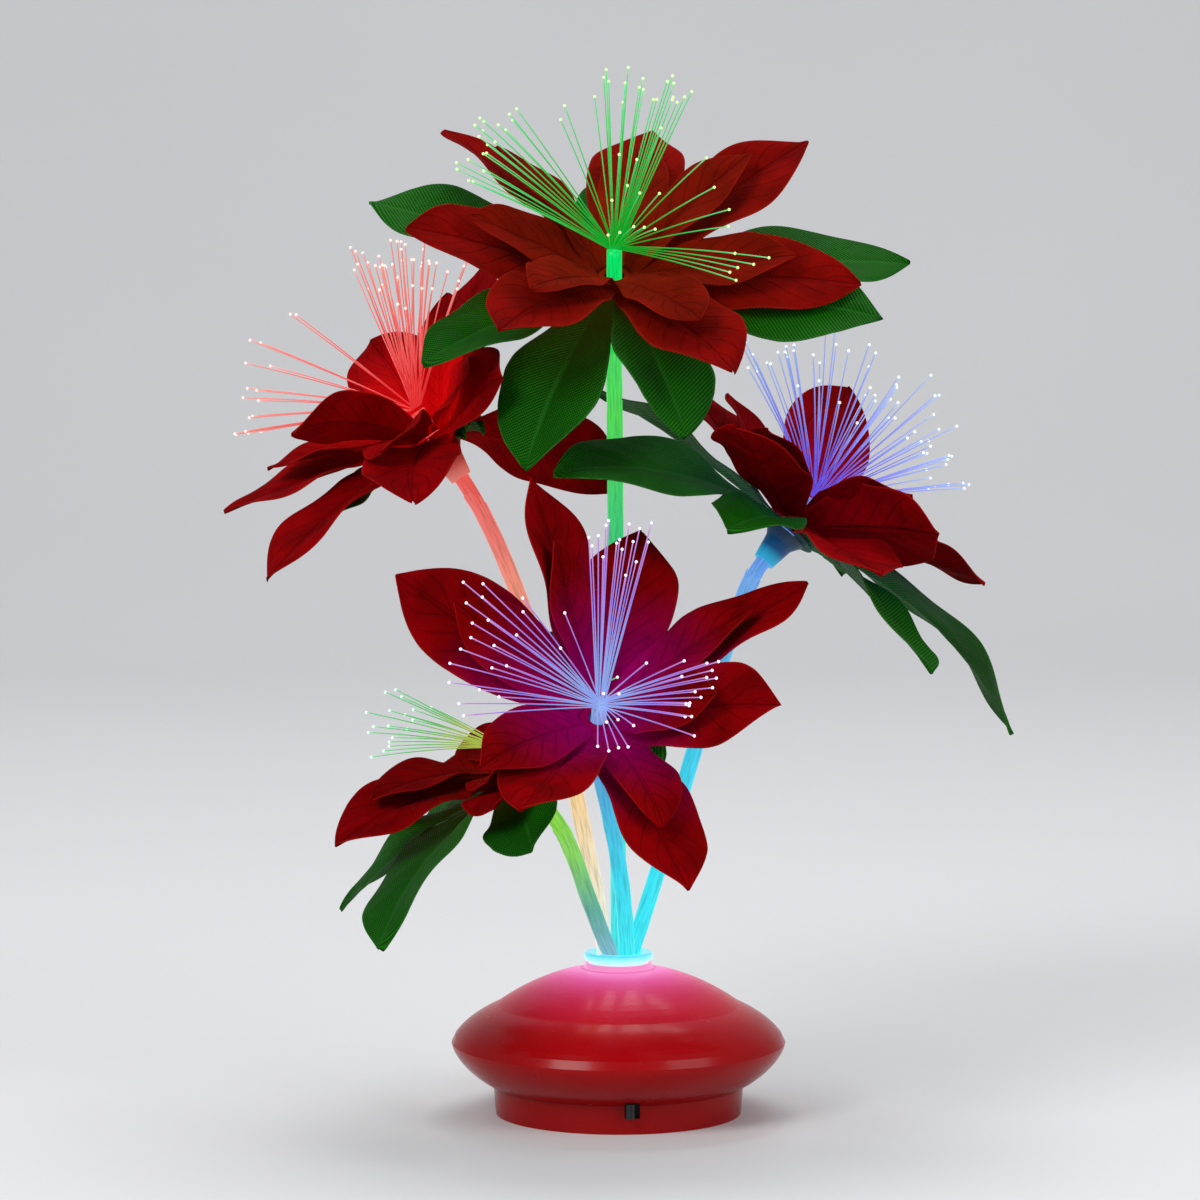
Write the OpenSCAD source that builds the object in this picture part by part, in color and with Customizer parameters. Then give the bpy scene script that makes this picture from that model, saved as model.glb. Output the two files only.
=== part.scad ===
// Light-up flower centerpiece: a saucer-shaped battery base, five bundles of optical fibre
// as stems, and on each stem a fabric flower with a spray of fibres at its heart.
// Millimetres, Z up. The origin is on the axis of the base, at the level of the table.

/* [Base] */
// Diameter of the base at its widest
base_d = 96; // [92:0.5:110]
// Height of the widest line above the table
belly_z = 20.5; // [20:0.1:21.5]
// Height of the seam between the two shells
seam_z = 18.2; // [17.8:0.1:18.8]
// Power of the rim's and the bowl's curve: 2 would be an ellipse, and less has a sharper edge
edge_power = 1.5; // [1.4:0.05:1.7]
// Width of the rim's curve, from its crest circle to the widest line
rim_w = 21; // [20:0.1:22]
// Rise of the rim's curve above the widest line
rim_h = 12.9; // [12.4:0.1:13.4]
// Distance of the crease between rim and dome from the widest line
crease_in = 13.3; // [12.5:0.1:14]
// Height that the dome would have on the axis
dome_top = 43; // [42.6:0.1:43.4]
// How far outside the crease the dome's ellipse would turn vertical
dome_over = 36; // [34:0.5:38]
// Half height of the dome's ellipse
dome_drop = 88; // [85:0.5:92]
// How far inside the foot the bowl's curve has its lowest point
bowl_in = 6.2; // [4:0.1:7]
// Depth of the bowl's curve below the widest line
bowl_h = 14.3; // [13.8:0.1:14.8]
// Diameter of the foot where it meets the bowl
foot_d = 72; // [71:0.1:74]
// Draft of the foot, in radius, from its top to the table
foot_draft = 0.7; // [0.3:0.1:1]
// Wall of both shells
wall = 2; // [1.6:0.1:2.4]

/* [Neck and collar] */
// Outside diameter of the neck
neck_d = 19; // [18.5:0.1:22]
// Wall of the neck and of the sleeve under it
neck_wall = 0.85; // [0.7:0.05:1.2]
// Height of the top of the neck
neck_top = 43.6; // [43:0.1:46]
// Outside diameter of the lit collar
collar_d = 17; // [16.6:0.1:17.2]
// Diameter of the collar's flange
flange_d = 19.6; // [19:0.1:22]
// Thickness of the collar's flange
flange_t = 2.3; // [1.8:0.1:3]
// Height of the collar's top above the neck
collar_stand = 3; // [2.8:0.1:4.5]
// Length of the collar, from the board to its top
collar_len = 17.6; // [16.5:0.1:18.5]

/* [Stems] */
// Diameter of a wrapped fibre bundle
stem_d = 4.6; // [4:0.1:4.7]
// Diameter of the circle that the five stems stand on
stem_ring_d = 8.2; // [8.1:0.1:8.4]
// Length of straight stem that the flower sits on
stem_straight = 25; // [22:0.5:28]

/* [Flowers] */
// Height of the root of the top flower's fibres, which sets the whole bouquet
bouquet_h = 249; // [240:0.5:260]
// Length of an outer petal, from hub to tip
petal_len = 66; // [60:0.5:70]
// Width of an outer petal
petal_w = 28; // [22:0.5:29]
// Length of an inner petal
inner_len = 49; // [44:0.5:52]
// Width of an inner petal
inner_w = 20; // [17:0.5:21]
// Angle of the inner petals above the outer ones
inner_lift = 9; // [7:0.5:12]
// Share of an outer petal's roll that its inner petal has
inner_roll = 0.8; // [0.6:0.05:1]
// Length of a leaf
leaf_len = 78; // [70:0.5:84]
// Width of a leaf
leaf_w = 31; // [24:0.5:33]
// Rise of a petal's edges above its midrib
fold = 2.6; // [1.5:0.1:3.5]
// Thickness of the flocked or woven fabric
fabric_t = 0.6; // [0.4:0.05:0.8]
// Thickness of the moulded hub of a layer
hub_t = 1.5; // [1.2:0.1:2]
// Depth of the inner petals' hub below the root of the fibres
hub_depth = 9.3; // [8:0.1:11]
// Height of the calyx cup
calyx_h = 10; // [8:0.5:11]
// Diameter of the calyx at its mouth
calyx_d = 12.6; // [10:0.1:12.8]

/* [Fibres] */
// Length of a fibre
fibre_len = 51; // [44:0.5:54]
// Thickness of a fibre at its tip
fibre_d = 0.4; // [0.3:0.05:0.5]
// Fibres along each side of the bundle's grid
fibre_rows = 8; // [7:1:9]
// Thickness of the slice of bundle that the fibres grow from
slice_t = 1.2; // [1:0.1:2]

/* [Power] */
// Diameter of a cell
cell_d = 10.5; // [10:0.1:10.6]
// Length of a cell
cell_len = 44.5; // [43:0.1:45]
// Number of cells side by side
cells = 3; // [2:1:3]
// Length of a fitted contact spring
spring_len = 4.2; // [3.8:0.1:4.6]
// Diameter of the spring wire
spring_wire = 0.7; // [0.5:0.05:0.8]
// Turns of a contact spring
spring_turns = 3; // [2:1:3]
// Height of the underside of the base above the table
floor_lift = 1; // [0.8:0.1:1.5]
// Thickness of the base's floor
floor_t = 3; // [2.8:0.1:3.4]
// Thickness of the battery door
door_t = 1.5; // [1.2:0.1:1.6]

/* [Switch] */
// Width of the switch knob
knob_w = 2.4; // [2.2:0.1:3]
// Height of the switch knob
knob_h = 4.2; // [3.6:0.1:4.4]
// Distance that the knob slides
knob_travel = 1.2; // [1:0.1:1.6]
// Place of the knob to the right of the axis, switched on
knob_x = 3.2; // [2.4:0.1:4]
// Height of the knob's middle
knob_z = 7.1; // [6.9:0.1:7.4]

/* [Hidden] */
clear = 0.3;
seat_gap = 0.1;
arc_steps = 12;
$fn = 64;

base_r = base_d / 2;
crease_r = base_r - crease_in;
dome_span = crease_r + dome_over;
foot_r = foot_d / 2;
foot_rim_r = foot_r - foot_draft;
foot_step = 0.4;
foot_bore_r = foot_rim_r - wall;
neck_r = neck_d / 2;
sleeve_r = neck_r - neck_wall;
rim_c = base_r - rim_w;
bowl_c = foot_r - bowl_in;
bowl_w = base_r - bowl_c;

// Radius and height on a curve with its crest circle at radius c, its width a and its height b
function curve(share) = pow(max(0, 1 - pow(abs(share), edge_power)), 1 / edge_power);
function curve_r(c, a, b, z) = c + a * curve(z / b);
function curve_z(c, a, b, r) = b * curve((r - c) / a);
function dome_z(r) = dome_top - dome_drop * (1 - sqrt(1 - pow(r / dome_span, 2)));
function reverse(v) = [for (i = [len(v) - 1:-1:0]) v[i]];
function steps(from, to, n) = [for (i = [0:n]) from + (to - from) * i / n];

seam_r = curve_r(bowl_c, bowl_w, bowl_h, belly_z - seam_z);
bowl_low_z = belly_z - curve_z(bowl_c, bowl_w, bowl_h, foot_r + foot_step);

floor_top = floor_lift + floor_t;
collar_top = neck_top + collar_stand;
board_top = collar_top - collar_len;
board_t = 1.6;
board_lug_x = 13;
board_lug_d = 5.4;
board_r = board_lug_x + 3.5;
collar_bore = stem_ring_d + stem_d + 2 * 0.2;
led_d = 3;
led_h = 3.4;
stem_foot = board_top + led_h + 0.6;

// Battery bay: the cells lie along X
cell_pitch = cell_d + 0.3;
plate_t = 0.5;
bay_x = cell_len + spring_len + 2 * plate_t + 0.2;
bay_y = cells * cell_pitch + 0.6;
bay_wall = 1.5;
recess_z = floor_lift + door_t + seat_gap;
cell_z = recess_z + 0.4 + cell_d / 2;
bay_roof = cell_z + cell_d / 2 + 0.4;
plate_x = bay_x / 2 - plate_t;
cell_x = plate_x - seat_gap - cell_len / 2;
spring_x = cell_x - cell_len / 2 - seat_gap;
tab_w = 3;
tab_top = bay_roof + bay_wall + 2;

// Battery door: tabs at the rear, a captive screw at the front
door_x = bay_x + 2.4;
door_rear = bay_y / 2 + 0.7;
door_screw_y = -bay_y / 2 - bay_wall - 1.7;
door_front = door_screw_y - 2.6;
door_tab_w = 8;
door_tab_x = 14;
door_tab_t = 1;
door_tab_len = 2;
lip_h = door_t - 0.2;
cup_r = 3.5;
cup_h = 3;
screw_d = 2.2;
screw_head_d = 4.4;
screw_head_h = 1.3;
door_screw_tip = floor_lift + cup_h + 3;

// Screws that join the shells
shell_screw_x = 14;
shell_screw_front = -27;
shell_screw_rear = 24;
shell_screws_at = [for (x = [-1, 1], y = [shell_screw_front, shell_screw_rear]) [x * shell_screw_x, y]];
boss_d = 6.5;
boss_split = 14;
boss_seat = boss_split - 6;
pilot_d = screw_d + 0.1;
shell_screw_tip = boss_split + 7;

// Switch
switch_w = 11;
switch_depth = 4.4;
switch_back = -31.6;
switch_h = 6;
knob_face = -foot_r - 2.4;
knob_root = switch_back - clear;
ridge_d = 0.7;

// Petal and leaf layers
hub_hole = stem_d / 2 + 1.2;
inner_hub_r = 4.8;
outer_hub_r = 5.2;
leaf_hub_r = 6.6;
blade_steps = 6;
blade_root = 0.09;
blade_end = 0.045;
short_wide = 0.25;
outer_depth = hub_depth + hub_t + seat_gap;
leaf_depth = outer_depth + hub_t + seat_gap;
calyx_top = leaf_depth + hub_t + seat_gap;

// Each flower: name, root of the fibres in shares of the bouquet's height, tilt and the way it
// leans, place of its stem on the ring, how far the stem keeps its direction at each end in the
// same shares, how much of its slant it has at the collar, petals, leaves, sprays of fibres.
// A petal or leaf is azimuth, pitch at the hub, bend down to the tip, share of full length and
// roll about its own length. A spray is the azimuth where its cells begin in the bundle, the
// azimuths its fibres point to, and their tilt at the edge of the bundle.
FLOWERS = [
    ["top", [-0.005, -0.02, 1], [28, 270], 90, [0.28, 0.18], 0,
     [[32, 31, 16, 1, 2], [80, 20, 18, 0.96, 3], [144, 35, 15, 0.95, 28], [195, 29, 8, 0.92, -20],
      [241, 24, 18, 0.96, -7], [299, 9, 10, 0.94, 4], [349, 7, 4, 1, 22]],
     [[14, 5, 18, 1.05, 0], [86, 4, 10, 0.7, 0], [166, 22, 15, 0.87, 0], [215, 5, 18, 0.76, 8],
      [248, -10, 25, 0.83, 7], [285, -4, 25, 0.73, -20], [344, 3, 4, 0.92, 22]],
     [[0, 12, 48, 26], [60, 76, 100, 60], [115, 150, 194, 74], [235, 268, 290, 60], [300, 310, 328, 86]]],
    ["left", [-0.234, 0.04, 0.813], [34, 170], 162, [0.24, 0.12], 0.5,
     [[20, -18, 54, 0.82, -46], [50, 41, 12, 1, 18], [92, 40, 8, 1, 0], [140, 21, 10, 0.9, 0],
      [183, 22, 14, 0.9, -20], [215, -1, 14, 1.04, -20], [254, 1, 30, 0.89, -30],
      [300, 7, 12, 0.73, 40]],
     [[70, 8, 14, 0.5, 0], [125, 8, 12, 0.5, 0], [183, 4, 14, 0.45, -20], [236, -26, 12, 0.25, -10],
      [300, -18, 10, 0.2, 10], [345, -28, 8, 0.2, 0]],
     [[0, 20, 70, 40], [120, 155, 187, 73], [235, 288, 328, 66]]],
    ["right", [0.226, 0.02, 0.711], [42, 22], 18, [0.24, 0.056], 1,
     [[60, 32, 8, 0.95, 0], [107, 54, 4, 1.02, -10], [152, 22, 4, 0.92, -22], [243, 1, 4, 0.88, 18],
      [290, -2, 14, 1.05, -24], [321, 32, 30, 0.76, -18], [352, 30, 14, 0.8, 0]],
     [[60, 18, 10, 0.45, 0], [110, 20, 10, 0.5, 0], [164, 9, 17, 0.85, -5], [208, -11, 39, 0.94, -26],
      [254, -14, 27, 0.58, 12], [319, -6, 17, 0.9, 10], [354, 16, 43, 1.05, 0]],
     [[340, 388, 420, 50], [80, 84, 112, 34], [135, 146, 172, 66], [225, 220, 300, 80]]],
    ["front", [-0.021, -0.221, 0.502], [59, 273], 306, [0.153, 0.088], 0.3,
     [[33, 19, 13, 0.98, -38], [80, -2, 12, 0.89, 4], [112, 41, 12, 1, 44], [150, 19, 9, 0.97, -16],
      [237, 43, 9, 0.9, 20], [292, 30, 19, 0.98, -30], [344, 50, 13, 0.93, 2]],
     [[50, -16, 12, 0.4, 0], [92, -18, 12, 0.6, 0], [132, -8, 12, 0.36, 0], [186, 0, 20, 0.22, 0],
      [245, 12, 14, 0.22, 0], [318, 4, 14, 0.22, 0]],
     [[35, 72, 100, 63], [130, 150, 212, 58], [250, 268, 286, 42], [300, 312, 350, 57]]],
    ["low", [-0.141, -0.056, 0.436], [38, 190], 234, [0.104, 0.056], 1,
     [[54, 16, 10, 0.22, 0], [104, 22, 10, 0.5, 0], [155, 20, 12, 0.6, 0], [214, 38, 34, 0.89, -26],
      [262, 14, 16, 0.6, 0], [308, 2, 16, 0.36, 0], [0, 4, 12, 0.25, 0]],
     [[95, 2, 18, 0.4, 0], [140, 4, 18, 0.7, 0], [187, 14, 25, 0.74, 0], [229, 14, 32, 0.96, 0],
      [265, -2, 20, 0.56, 4], [10, -10, 20, 0.14, 0]],
     [[90, 106, 132, 68], [190, 236, 264, 54], [330, 380, 430, 45]]]
];
FLOWER_PIECES = ["stem", "calyx", "leaves", "outer_petals", "inner_petals", "fibres"];
BASE_PIECES = ["top_shell", "bottom_shell", "light_collar", "led_board", "leds", "board_screws",
    "cells", "cell_springs", "cell_plates", "battery_door", "door_screw", "shell_screws",
    "switch_body", "switch_knob", "red_lead", "black_lead", "switch_lead"];

RED = [0.78, 0.06, 0.12];
PETAL = [0.6, 0.02, 0.04];
LEAF = [0.08, 0.35, 0.1];
GLOW = [0.75, 0.95, 1];

// Turns a vector about a level line so that the vertical leans by t towards azimuth p.
function lean(v, t, p) =
    let (u = [cos(p), sin(p), 0], a = v * u, level = [v.x, v.y, 0] - a * u)
    level + (a * cos(t) + v.z * sin(t)) * u + [0, 0, v.z * cos(t) - a * sin(t)];
function unit(v) = v / norm(v);

// A round tube through a list of points, as one closed polyhedron.
function tangent(p, i) = unit(p[min(i + 1, len(p) - 1)] - p[max(i - 1, 0)]);
function ring(c, t, r, sides, ref) =
    let (n = unit(ref - (ref * t) * t), b = cross(t, n))
    [for (k = [0:sides - 1]) c + r * (cos(360 * k / sides) * n + sin(360 * k / sides) * b)];
module tube(p, r, sides, ref) {
    last = (len(p) - 1) * sides;
    polyhedron(
        [for (i = [0:len(p) - 1]) each ring(p[i], tangent(p, i), r, sides, ref)],
        concat(
            [for (i = [0:len(p) - 2], k = [0:sides - 1])
                let (a = i * sides + k, b = i * sides + (k + 1) % sides)
                each [[a, a + sides, b + sides], [a, b + sides, b]]],
            [for (k = [1:sides - 2]) [0, k, k + 1]],
            [for (k = [1:sides - 2]) [last, last + k + 1, last + k]]));
}

// A smooth curve through hand-placed points, with n steps for each stretch.
function smooth(p, n) = concat(
    [for (i = [0:len(p) - 2], k = [0:n - 1])
        let (t = k / n, a = p[max(i - 1, 0)], b = p[i], c = p[i + 1], d = p[min(i + 2, len(p) - 1)])
        0.5 * (2 * b + (c - a) * t + (2 * a - 5 * b + 4 * c - d) * t * t
            + (3 * b - a - 3 * c + d) * t * t * t)],
    [p[len(p) - 1]]);

// Profile of the base's outside, from the seam up to the neck, drawn in by the inset.
function crown(inset) = concat(
    [for (z = steps(seam_z - belly_z, 0, 2)) [curve_r(bowl_c, bowl_w - inset, bowl_h, z), belly_z + z]],
    [for (r = steps(base_r - inset, crease_r, arc_steps))
        [r, belly_z + curve_z(rim_c, rim_w - inset, rim_h - inset, r)]],
    [for (r = steps(crease_r, sleeve_r, arc_steps)) [r, dome_z(r) - inset]]);

module top_shell() {
    lip_t = 1;
    lip_low = seam_z - 1.5;
    lip_out = curve_r(bowl_c, bowl_w - wall, bowl_h - wall, belly_z - lip_low) - 0.2;
    color(RED) difference() {
        union() {
            rotate_extrude() polygon(concat(crown(0), reverse(crown(wall))));
            // Neck and the sleeve that guides the collar
            rotate_extrude() polygon([[sleeve_r, board_top + 1], [neck_r, board_top + 1],
                [neck_r, neck_top - 0.3], [neck_r - 0.3, neck_top], [sleeve_r, neck_top]]);
            // Lip that drops into the bottom shell
            rotate_extrude() polygon([[lip_out - lip_t, lip_low], [lip_out, lip_low],
                [lip_out, seam_z + seat_gap], [seam_r - wall / 2, seam_z + seat_gap],
                [seam_r - wall / 2, seam_z + lip_t], [lip_out - lip_t, seam_z + lip_t]]);
            // Bosses for the shell screws and lugs for the board, up to the middle of the wall
            intersection() {
                rotate_extrude()
                    polygon(concat([[0, 0], [seam_r - wall, 0]], crown(wall / 2), [[0, dome_top]]));
                union() {
                    for (p = shell_screws_at) translate([p.x, p.y, boss_split + seat_gap])
                        cylinder(d = boss_d, h = dome_top);
                    for (x = [-1, 1]) translate([x * board_lug_x, 0, board_top])
                        cylinder(d = board_lug_d, h = dome_top);
                }
            }
        }
        for (p = shell_screws_at) translate([p.x, p.y, boss_split - 1]) cylinder(d = pilot_d, h = 10);
        for (x = [-1, 1]) translate([x * board_lug_x, 0, board_top - 1]) cylinder(d = pilot_d, h = 8);
        translate([0, 0, board_top - 1]) cylinder(r = sleeve_r, h = neck_top - board_top + 2);
    }
}

function bowl(inset, low_r) = [for (z = steps(seam_z - belly_z,
        -curve_z(bowl_c, bowl_w - inset, bowl_h - inset, low_r), arc_steps))
    [curve_r(bowl_c, bowl_w - inset, bowl_h - inset, z), belly_z + z]];

module bottom_shell() {
    color(RED) difference() {
        union() {
            rotate_extrude() polygon(concat(
                [[0, floor_lift], [foot_bore_r, floor_lift], [foot_bore_r, 0], [foot_rim_r, 0],
                    [foot_r, bowl_low_z]],
                reverse(bowl(0, foot_r + foot_step)),
                bowl(wall, foot_bore_r),
                [[foot_bore_r, floor_top], [0, floor_top]]));
            // Walls and roof of the battery bay
            translate([-bay_x / 2 - bay_wall, -bay_y / 2 - bay_wall, floor_lift])
                cube([bay_x + 2 * bay_wall, bay_y + 2 * bay_wall, bay_roof + bay_wall - floor_lift]);
            // Posts for the shell screws and the door screw
            for (p = shell_screws_at) translate([p.x, p.y, floor_lift])
                cylinder(d = boss_d + 1, h = boss_split - floor_lift);
            translate([0, door_screw_y, floor_lift])
                cylinder(r = cup_r + 1, h = door_screw_tip + 2 - floor_lift);
        }
        // Bay, the recess of its door and the slots for the door's tabs
        translate([-bay_x / 2, -bay_y / 2, 0]) cube([bay_x, bay_y, bay_roof]);
        translate([-door_x / 2 - clear, door_front - clear, 0])
            cube([door_x + 2 * clear, door_rear - door_front + 2 * clear, recess_z]);
        for (x = [-1, 1]) translate([x * door_tab_x - door_tab_w / 2 - clear, 0, floor_lift + lip_h])
            cube([door_tab_w + 2 * clear, door_rear + clear + door_tab_len + clear, cup_h + 3]);
        translate([0, door_screw_y, 0]) cylinder(r = cup_r + clear, h = floor_lift + cup_h + clear);
        translate([0, door_screw_y, 0]) cylinder(d = screw_d + 1.2, h = door_screw_tip + 1);
        // Slots in the roof for the tabs of the contact plates
        for (x = [-1, 1]) translate([x * (plate_x + plate_t / 2), -cell_pitch, bay_roof - 1])
            cube([plate_t + 0.3, tab_w + 0.3, 8], center = true);
        // Screw wells
        for (p = shell_screws_at) translate([p.x, p.y, 0]) {
            cylinder(d = screw_head_d + 0.8, h = boss_seat);
            cylinder(d = screw_d + 0.8, h = boss_split + 1);
        }
        // Opening for the switch knob
        translate([knob_x - knob_w / 2 - clear, -base_r, knob_z - knob_h / 2 - 0.4])
            cube([knob_w + knob_travel + 2 * clear, base_r + switch_back + 0.2, knob_h + 0.8]);
    }
}

module light_collar() {
    edge = 0.5;
    r = collar_d / 2;
    bore = collar_bore / 2;
    under = collar_top - flange_t;
    rim = flange_d / 2;
    color(GLOW) rotate_extrude() polygon([[bore, board_top], [r, board_top], [r, under], [rim - edge, under],
        [rim, under + edge], [rim, collar_top - edge], [rim - edge, collar_top],
        [bore + edge, collar_top], [bore, collar_top - edge]]);
}

module led_board() {
    color("darkgreen") difference() {
        translate([0, 0, board_top - board_t]) cylinder(r = board_r, h = board_t);
        for (x = [-1, 1]) translate([x * board_lug_x, 0, board_top - board_t - 1])
            cylinder(d = screw_d + 0.4, h = board_t + 2);
    }
}

// Place of a flower's stem on the ring of stems, at a height.
function on_ring(f, z) = [stem_ring_d / 2 * cos(f[3]), stem_ring_d / 2 * sin(f[3]), z];
module leds() {
    color("white") for (f = FLOWERS) translate(on_ring(f, board_top)) {
        cylinder(d = led_d + 0.6, h = 0.8);
        cylinder(d = led_d, h = led_h - led_d / 2);
        translate([0, 0, led_h - led_d / 2]) sphere(d = led_d);
    }
}

// A pan-head screw that points up, with its head's upper face at the origin.
module screw(shank) {
    translate([0, 0, -screw_head_h]) difference() {
        cylinder(d1 = screw_head_d - 0.8, d2 = screw_head_d, h = screw_head_h);
        for (a = [0, 90]) rotate(a) translate([-1.2, -0.25, -1]) cube([2.4, 0.5, 1.7]);
    }
    cylinder(d = screw_d, h = shank);
}

module board_screws() {
    color("silver") for (x = [-1, 1]) translate([x * board_lug_x, 0, board_top - board_t]) screw(board_t + 5);
}

module shell_screws() {
    color("silver") for (p = shell_screws_at) translate([p.x, p.y, boss_seat])
        screw(shell_screw_tip - boss_seat);
}

module door_screw() {
    color("silver") translate([0, door_screw_y, floor_lift + screw_head_h + 0.3])
        screw(door_screw_tip - floor_lift - screw_head_h - 0.3);
}

module battery_door() {
    color(RED) difference() {
        union() {
            translate([-door_x / 2, door_front, floor_lift]) cube([door_x, door_rear - door_front, door_t]);
            translate([0, door_screw_y, floor_lift]) cylinder(r = cup_r, h = cup_h);
            // Tabs that hook over the lip at the rear
            for (x = [-1, 1]) translate([x * door_tab_x - door_tab_w / 2, door_rear - 2, floor_lift + door_t])
                cube([door_tab_w, 2 + clear + door_tab_len, door_tab_t]);
        }
        translate([0, door_screw_y, 0]) cylinder(d = screw_head_d + 0.4, h = floor_lift + screw_head_h + 0.3);
        translate([0, door_screw_y, 0]) cylinder(d = screw_d + 0.2, h = floor_lift + cup_h + 1);
        // Finger grips
        for (x = [-3:3]) translate([door_tab_x + x * 1.6, door_front + 6, floor_lift])
            rotate([-90, 0, 0]) cylinder(d = 0.8, h = 5);
    }
}

function cell_y(i) = (i - (cells - 1) / 2) * cell_pitch;

module cells() {
    nub = 1;
    nub_d = 3.8;
    color("gold") for (i = [0:cells - 1])
        translate([cell_x - cell_len / 2, cell_y(i), cell_z]) rotate([0, 90, 0]) {
            cylinder(d = cell_d, h = cell_len - nub);
            cylinder(d = nub_d, h = cell_len);
        }
}

module cell_plates() {
    plate_h = cell_d - 1;
    color("silver") for (x = [-1, 1], i = [0:cells - 1])
        translate([x * (plate_x + plate_t / 2), cell_y(i), cell_z]) {
            cube([plate_t, cell_d - 2, plate_h], center = true);
            if (i == 0) translate([-plate_t / 2, -tab_w / 2, 0]) cube([plate_t, tab_w, tab_top - cell_z]);
        }
}

// A cone-shaped contact spring, as points on its wire's centre line along X.
spring_rings = 8;
spring_r = 3.6;
spring_taper = 1.2;
function spring_points(y) = [for (k = [0:spring_turns * spring_rings])
    let (t = k / (spring_turns * spring_rings), a = 360 * spring_turns * t, r = spring_r - spring_taper * t)
    [spring_x - spring_wire / 2 - (1 - t) * (spring_len - spring_wire - 2 * seat_gap),
        y + r * cos(a), cell_z + r * sin(a)]];
spring_gap = min([for (i = [0:spring_turns * spring_rings], j = [0:spring_turns * spring_rings])
    if (j - i > spring_rings / 2) norm(spring_points(0)[i] - spring_points(0)[j])]) - spring_wire;
echo(spring_gap_mm = spring_gap);

module cell_springs() {
    color("silver") for (i = [0:cells - 1]) tube(spring_points(cell_y(i)), spring_wire / 2, 6, [1, 0, 0]);
}

module switch_body() {
    color("dimgray") translate([knob_x + knob_travel / 2 - switch_w / 2, switch_back, floor_top])
        cube([switch_w, switch_depth, switch_h]);
}

module switch_knob() {
    color("black") translate([knob_x, 0, knob_z - knob_h / 2]) {
        translate([-knob_w / 2, knob_face, 0]) cube([knob_w, knob_root - knob_face, knob_h]);
        for (x = [-1, 1]) translate([x * knob_w * 0.28, knob_face, 0]) cylinder(d = ridge_d, h = knob_h);
    }
}

lead_d = 1.4;
module lead(route, ref) {
    tube(smooth(route, 2), lead_d / 2, 8, ref);
}
module red_lead() {
    color("red") lead([[plate_x + plate_t / 2, -cell_pitch, tab_top + seat_gap], [23.5, -10.5, 22],
        [18, -9, 24.5], [12.5, -7, 24], [9, -6, 24.6], [8.5, -6, 26],
        [8.5, -6, board_top - board_t - clear]], [0, 1, 0]);
}
module black_lead() {
    color("black") lead([[-plate_x - plate_t / 2, -cell_pitch, tab_top + seat_gap], [-22, -12, 21],
        [-12, -16, 20], [-4, -21, 17], [0, -27, 14], [knob_x - 2, -29, 12],
        [knob_x - 2, -29, floor_top + switch_h + clear]], [0, 1, 0.5]);
}
module switch_lead() {
    color("red") lead([[knob_x + 3, -29, floor_top + switch_h + clear], [knob_x + 3, -29, 12],
        [6, -26, 15], [6, -20, 20], [6, -14, 23], [5.5, -10.5, 24.6], [5, -10, 26],
        [5, -10, board_top - board_t - clear]], [1, 0, 0]);
}

// Points of a flower, given in its own frame: fibre root at zero, axis up.
function place(f, v) = bouquet_h * f[1] + lean(v, f[2][0], f[2][1]);
module at_flower(f) {
    translate(bouquet_h * f[1]) rotate([0, 0, f[2][1]]) rotate([0, f[2][0], 0])
        rotate([0, 0, -f[2][1]]) children();
}

function bezier(a, b, c, d, t) =
    pow(1 - t, 3) * a + 3 * pow(1 - t, 2) * t * b + 3 * (1 - t) * t * t * c + pow(t, 3) * d;
module stem(f) {
    foot = on_ring(f, stem_foot);
    mouth = on_ring(f, collar_top);
    knee = place(f, [0, 0, -stem_straight]);
    rise = unit((1 - f[5]) * [0, 0, 1] + f[5] * unit(knee - mouth));
    arc = [for (t = steps(0, 1, 13)) bezier(mouth, mouth + bouquet_h * f[4][0] * rise,
        place(f, [0, 0, -stem_straight - bouquet_h * f[4][1]]), knee, t)];
    top = place(f, [0, 0, -slice_t - seat_gap]);
    color([0.6, 0.9, 0.6]) tube(concat([foot], arc, [top]), stem_d / 2, 12, [1, 0, 0]);
}

module calyx(f) {
    low = calyx_top + calyx_h;
    bore = stem_d / 2 + 0.05;
    mouth = calyx_d / 2;
    color([0.1, 0.4, 0.3]) at_flower(f) rotate_extrude() polygon([[bore, -low], [bore + 0.8, -low],
        [bore + 1.3, -low + 3], [mouth - 2, -low + calyx_h * 0.7], [mouth, -calyx_top],
        [mouth - 2.2, -calyx_top], [bore + 1.2, -calyx_top - 3], [bore, -calyx_top - 3]]);
}

// Half width of a petal along its length, as a share of the widest.
function blade(s) = s < 0.5 ? blade_root + (1 - blade_root) * pow(sin(180 * s), 1.3)
    : max(blade_end, cos(90 * pow(2 * s - 1, 1.25)));
// A point on a petal: s runs from hub to tip, x from edge to edge.
function blade_point(b, s, x, hub_r, length, width) =
    let (deg = 180 / PI, a = b[1] - b[2] * s, size = length * b[3], roll = b[4] * min(1, 3 * s),
        half = x * blade(s) * width / 2 * min(1, b[3] + short_wide), cupped = fold * abs(x) * sin(180 * s),
        side = half * cos(roll) - cupped * sin(roll), rise = half * sin(roll) + cupped * cos(roll),
        along = hub_r + size * (sin(b[1]) - sin(a)) * deg / b[2] - sin(a) * rise,
        up = size * (cos(a) - cos(b[1])) * deg / b[2] + cos(a) * rise)
    [along * cos(b[0]) - side * sin(b[0]), along * sin(b[0]) + side * cos(b[0]), up];

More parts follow.
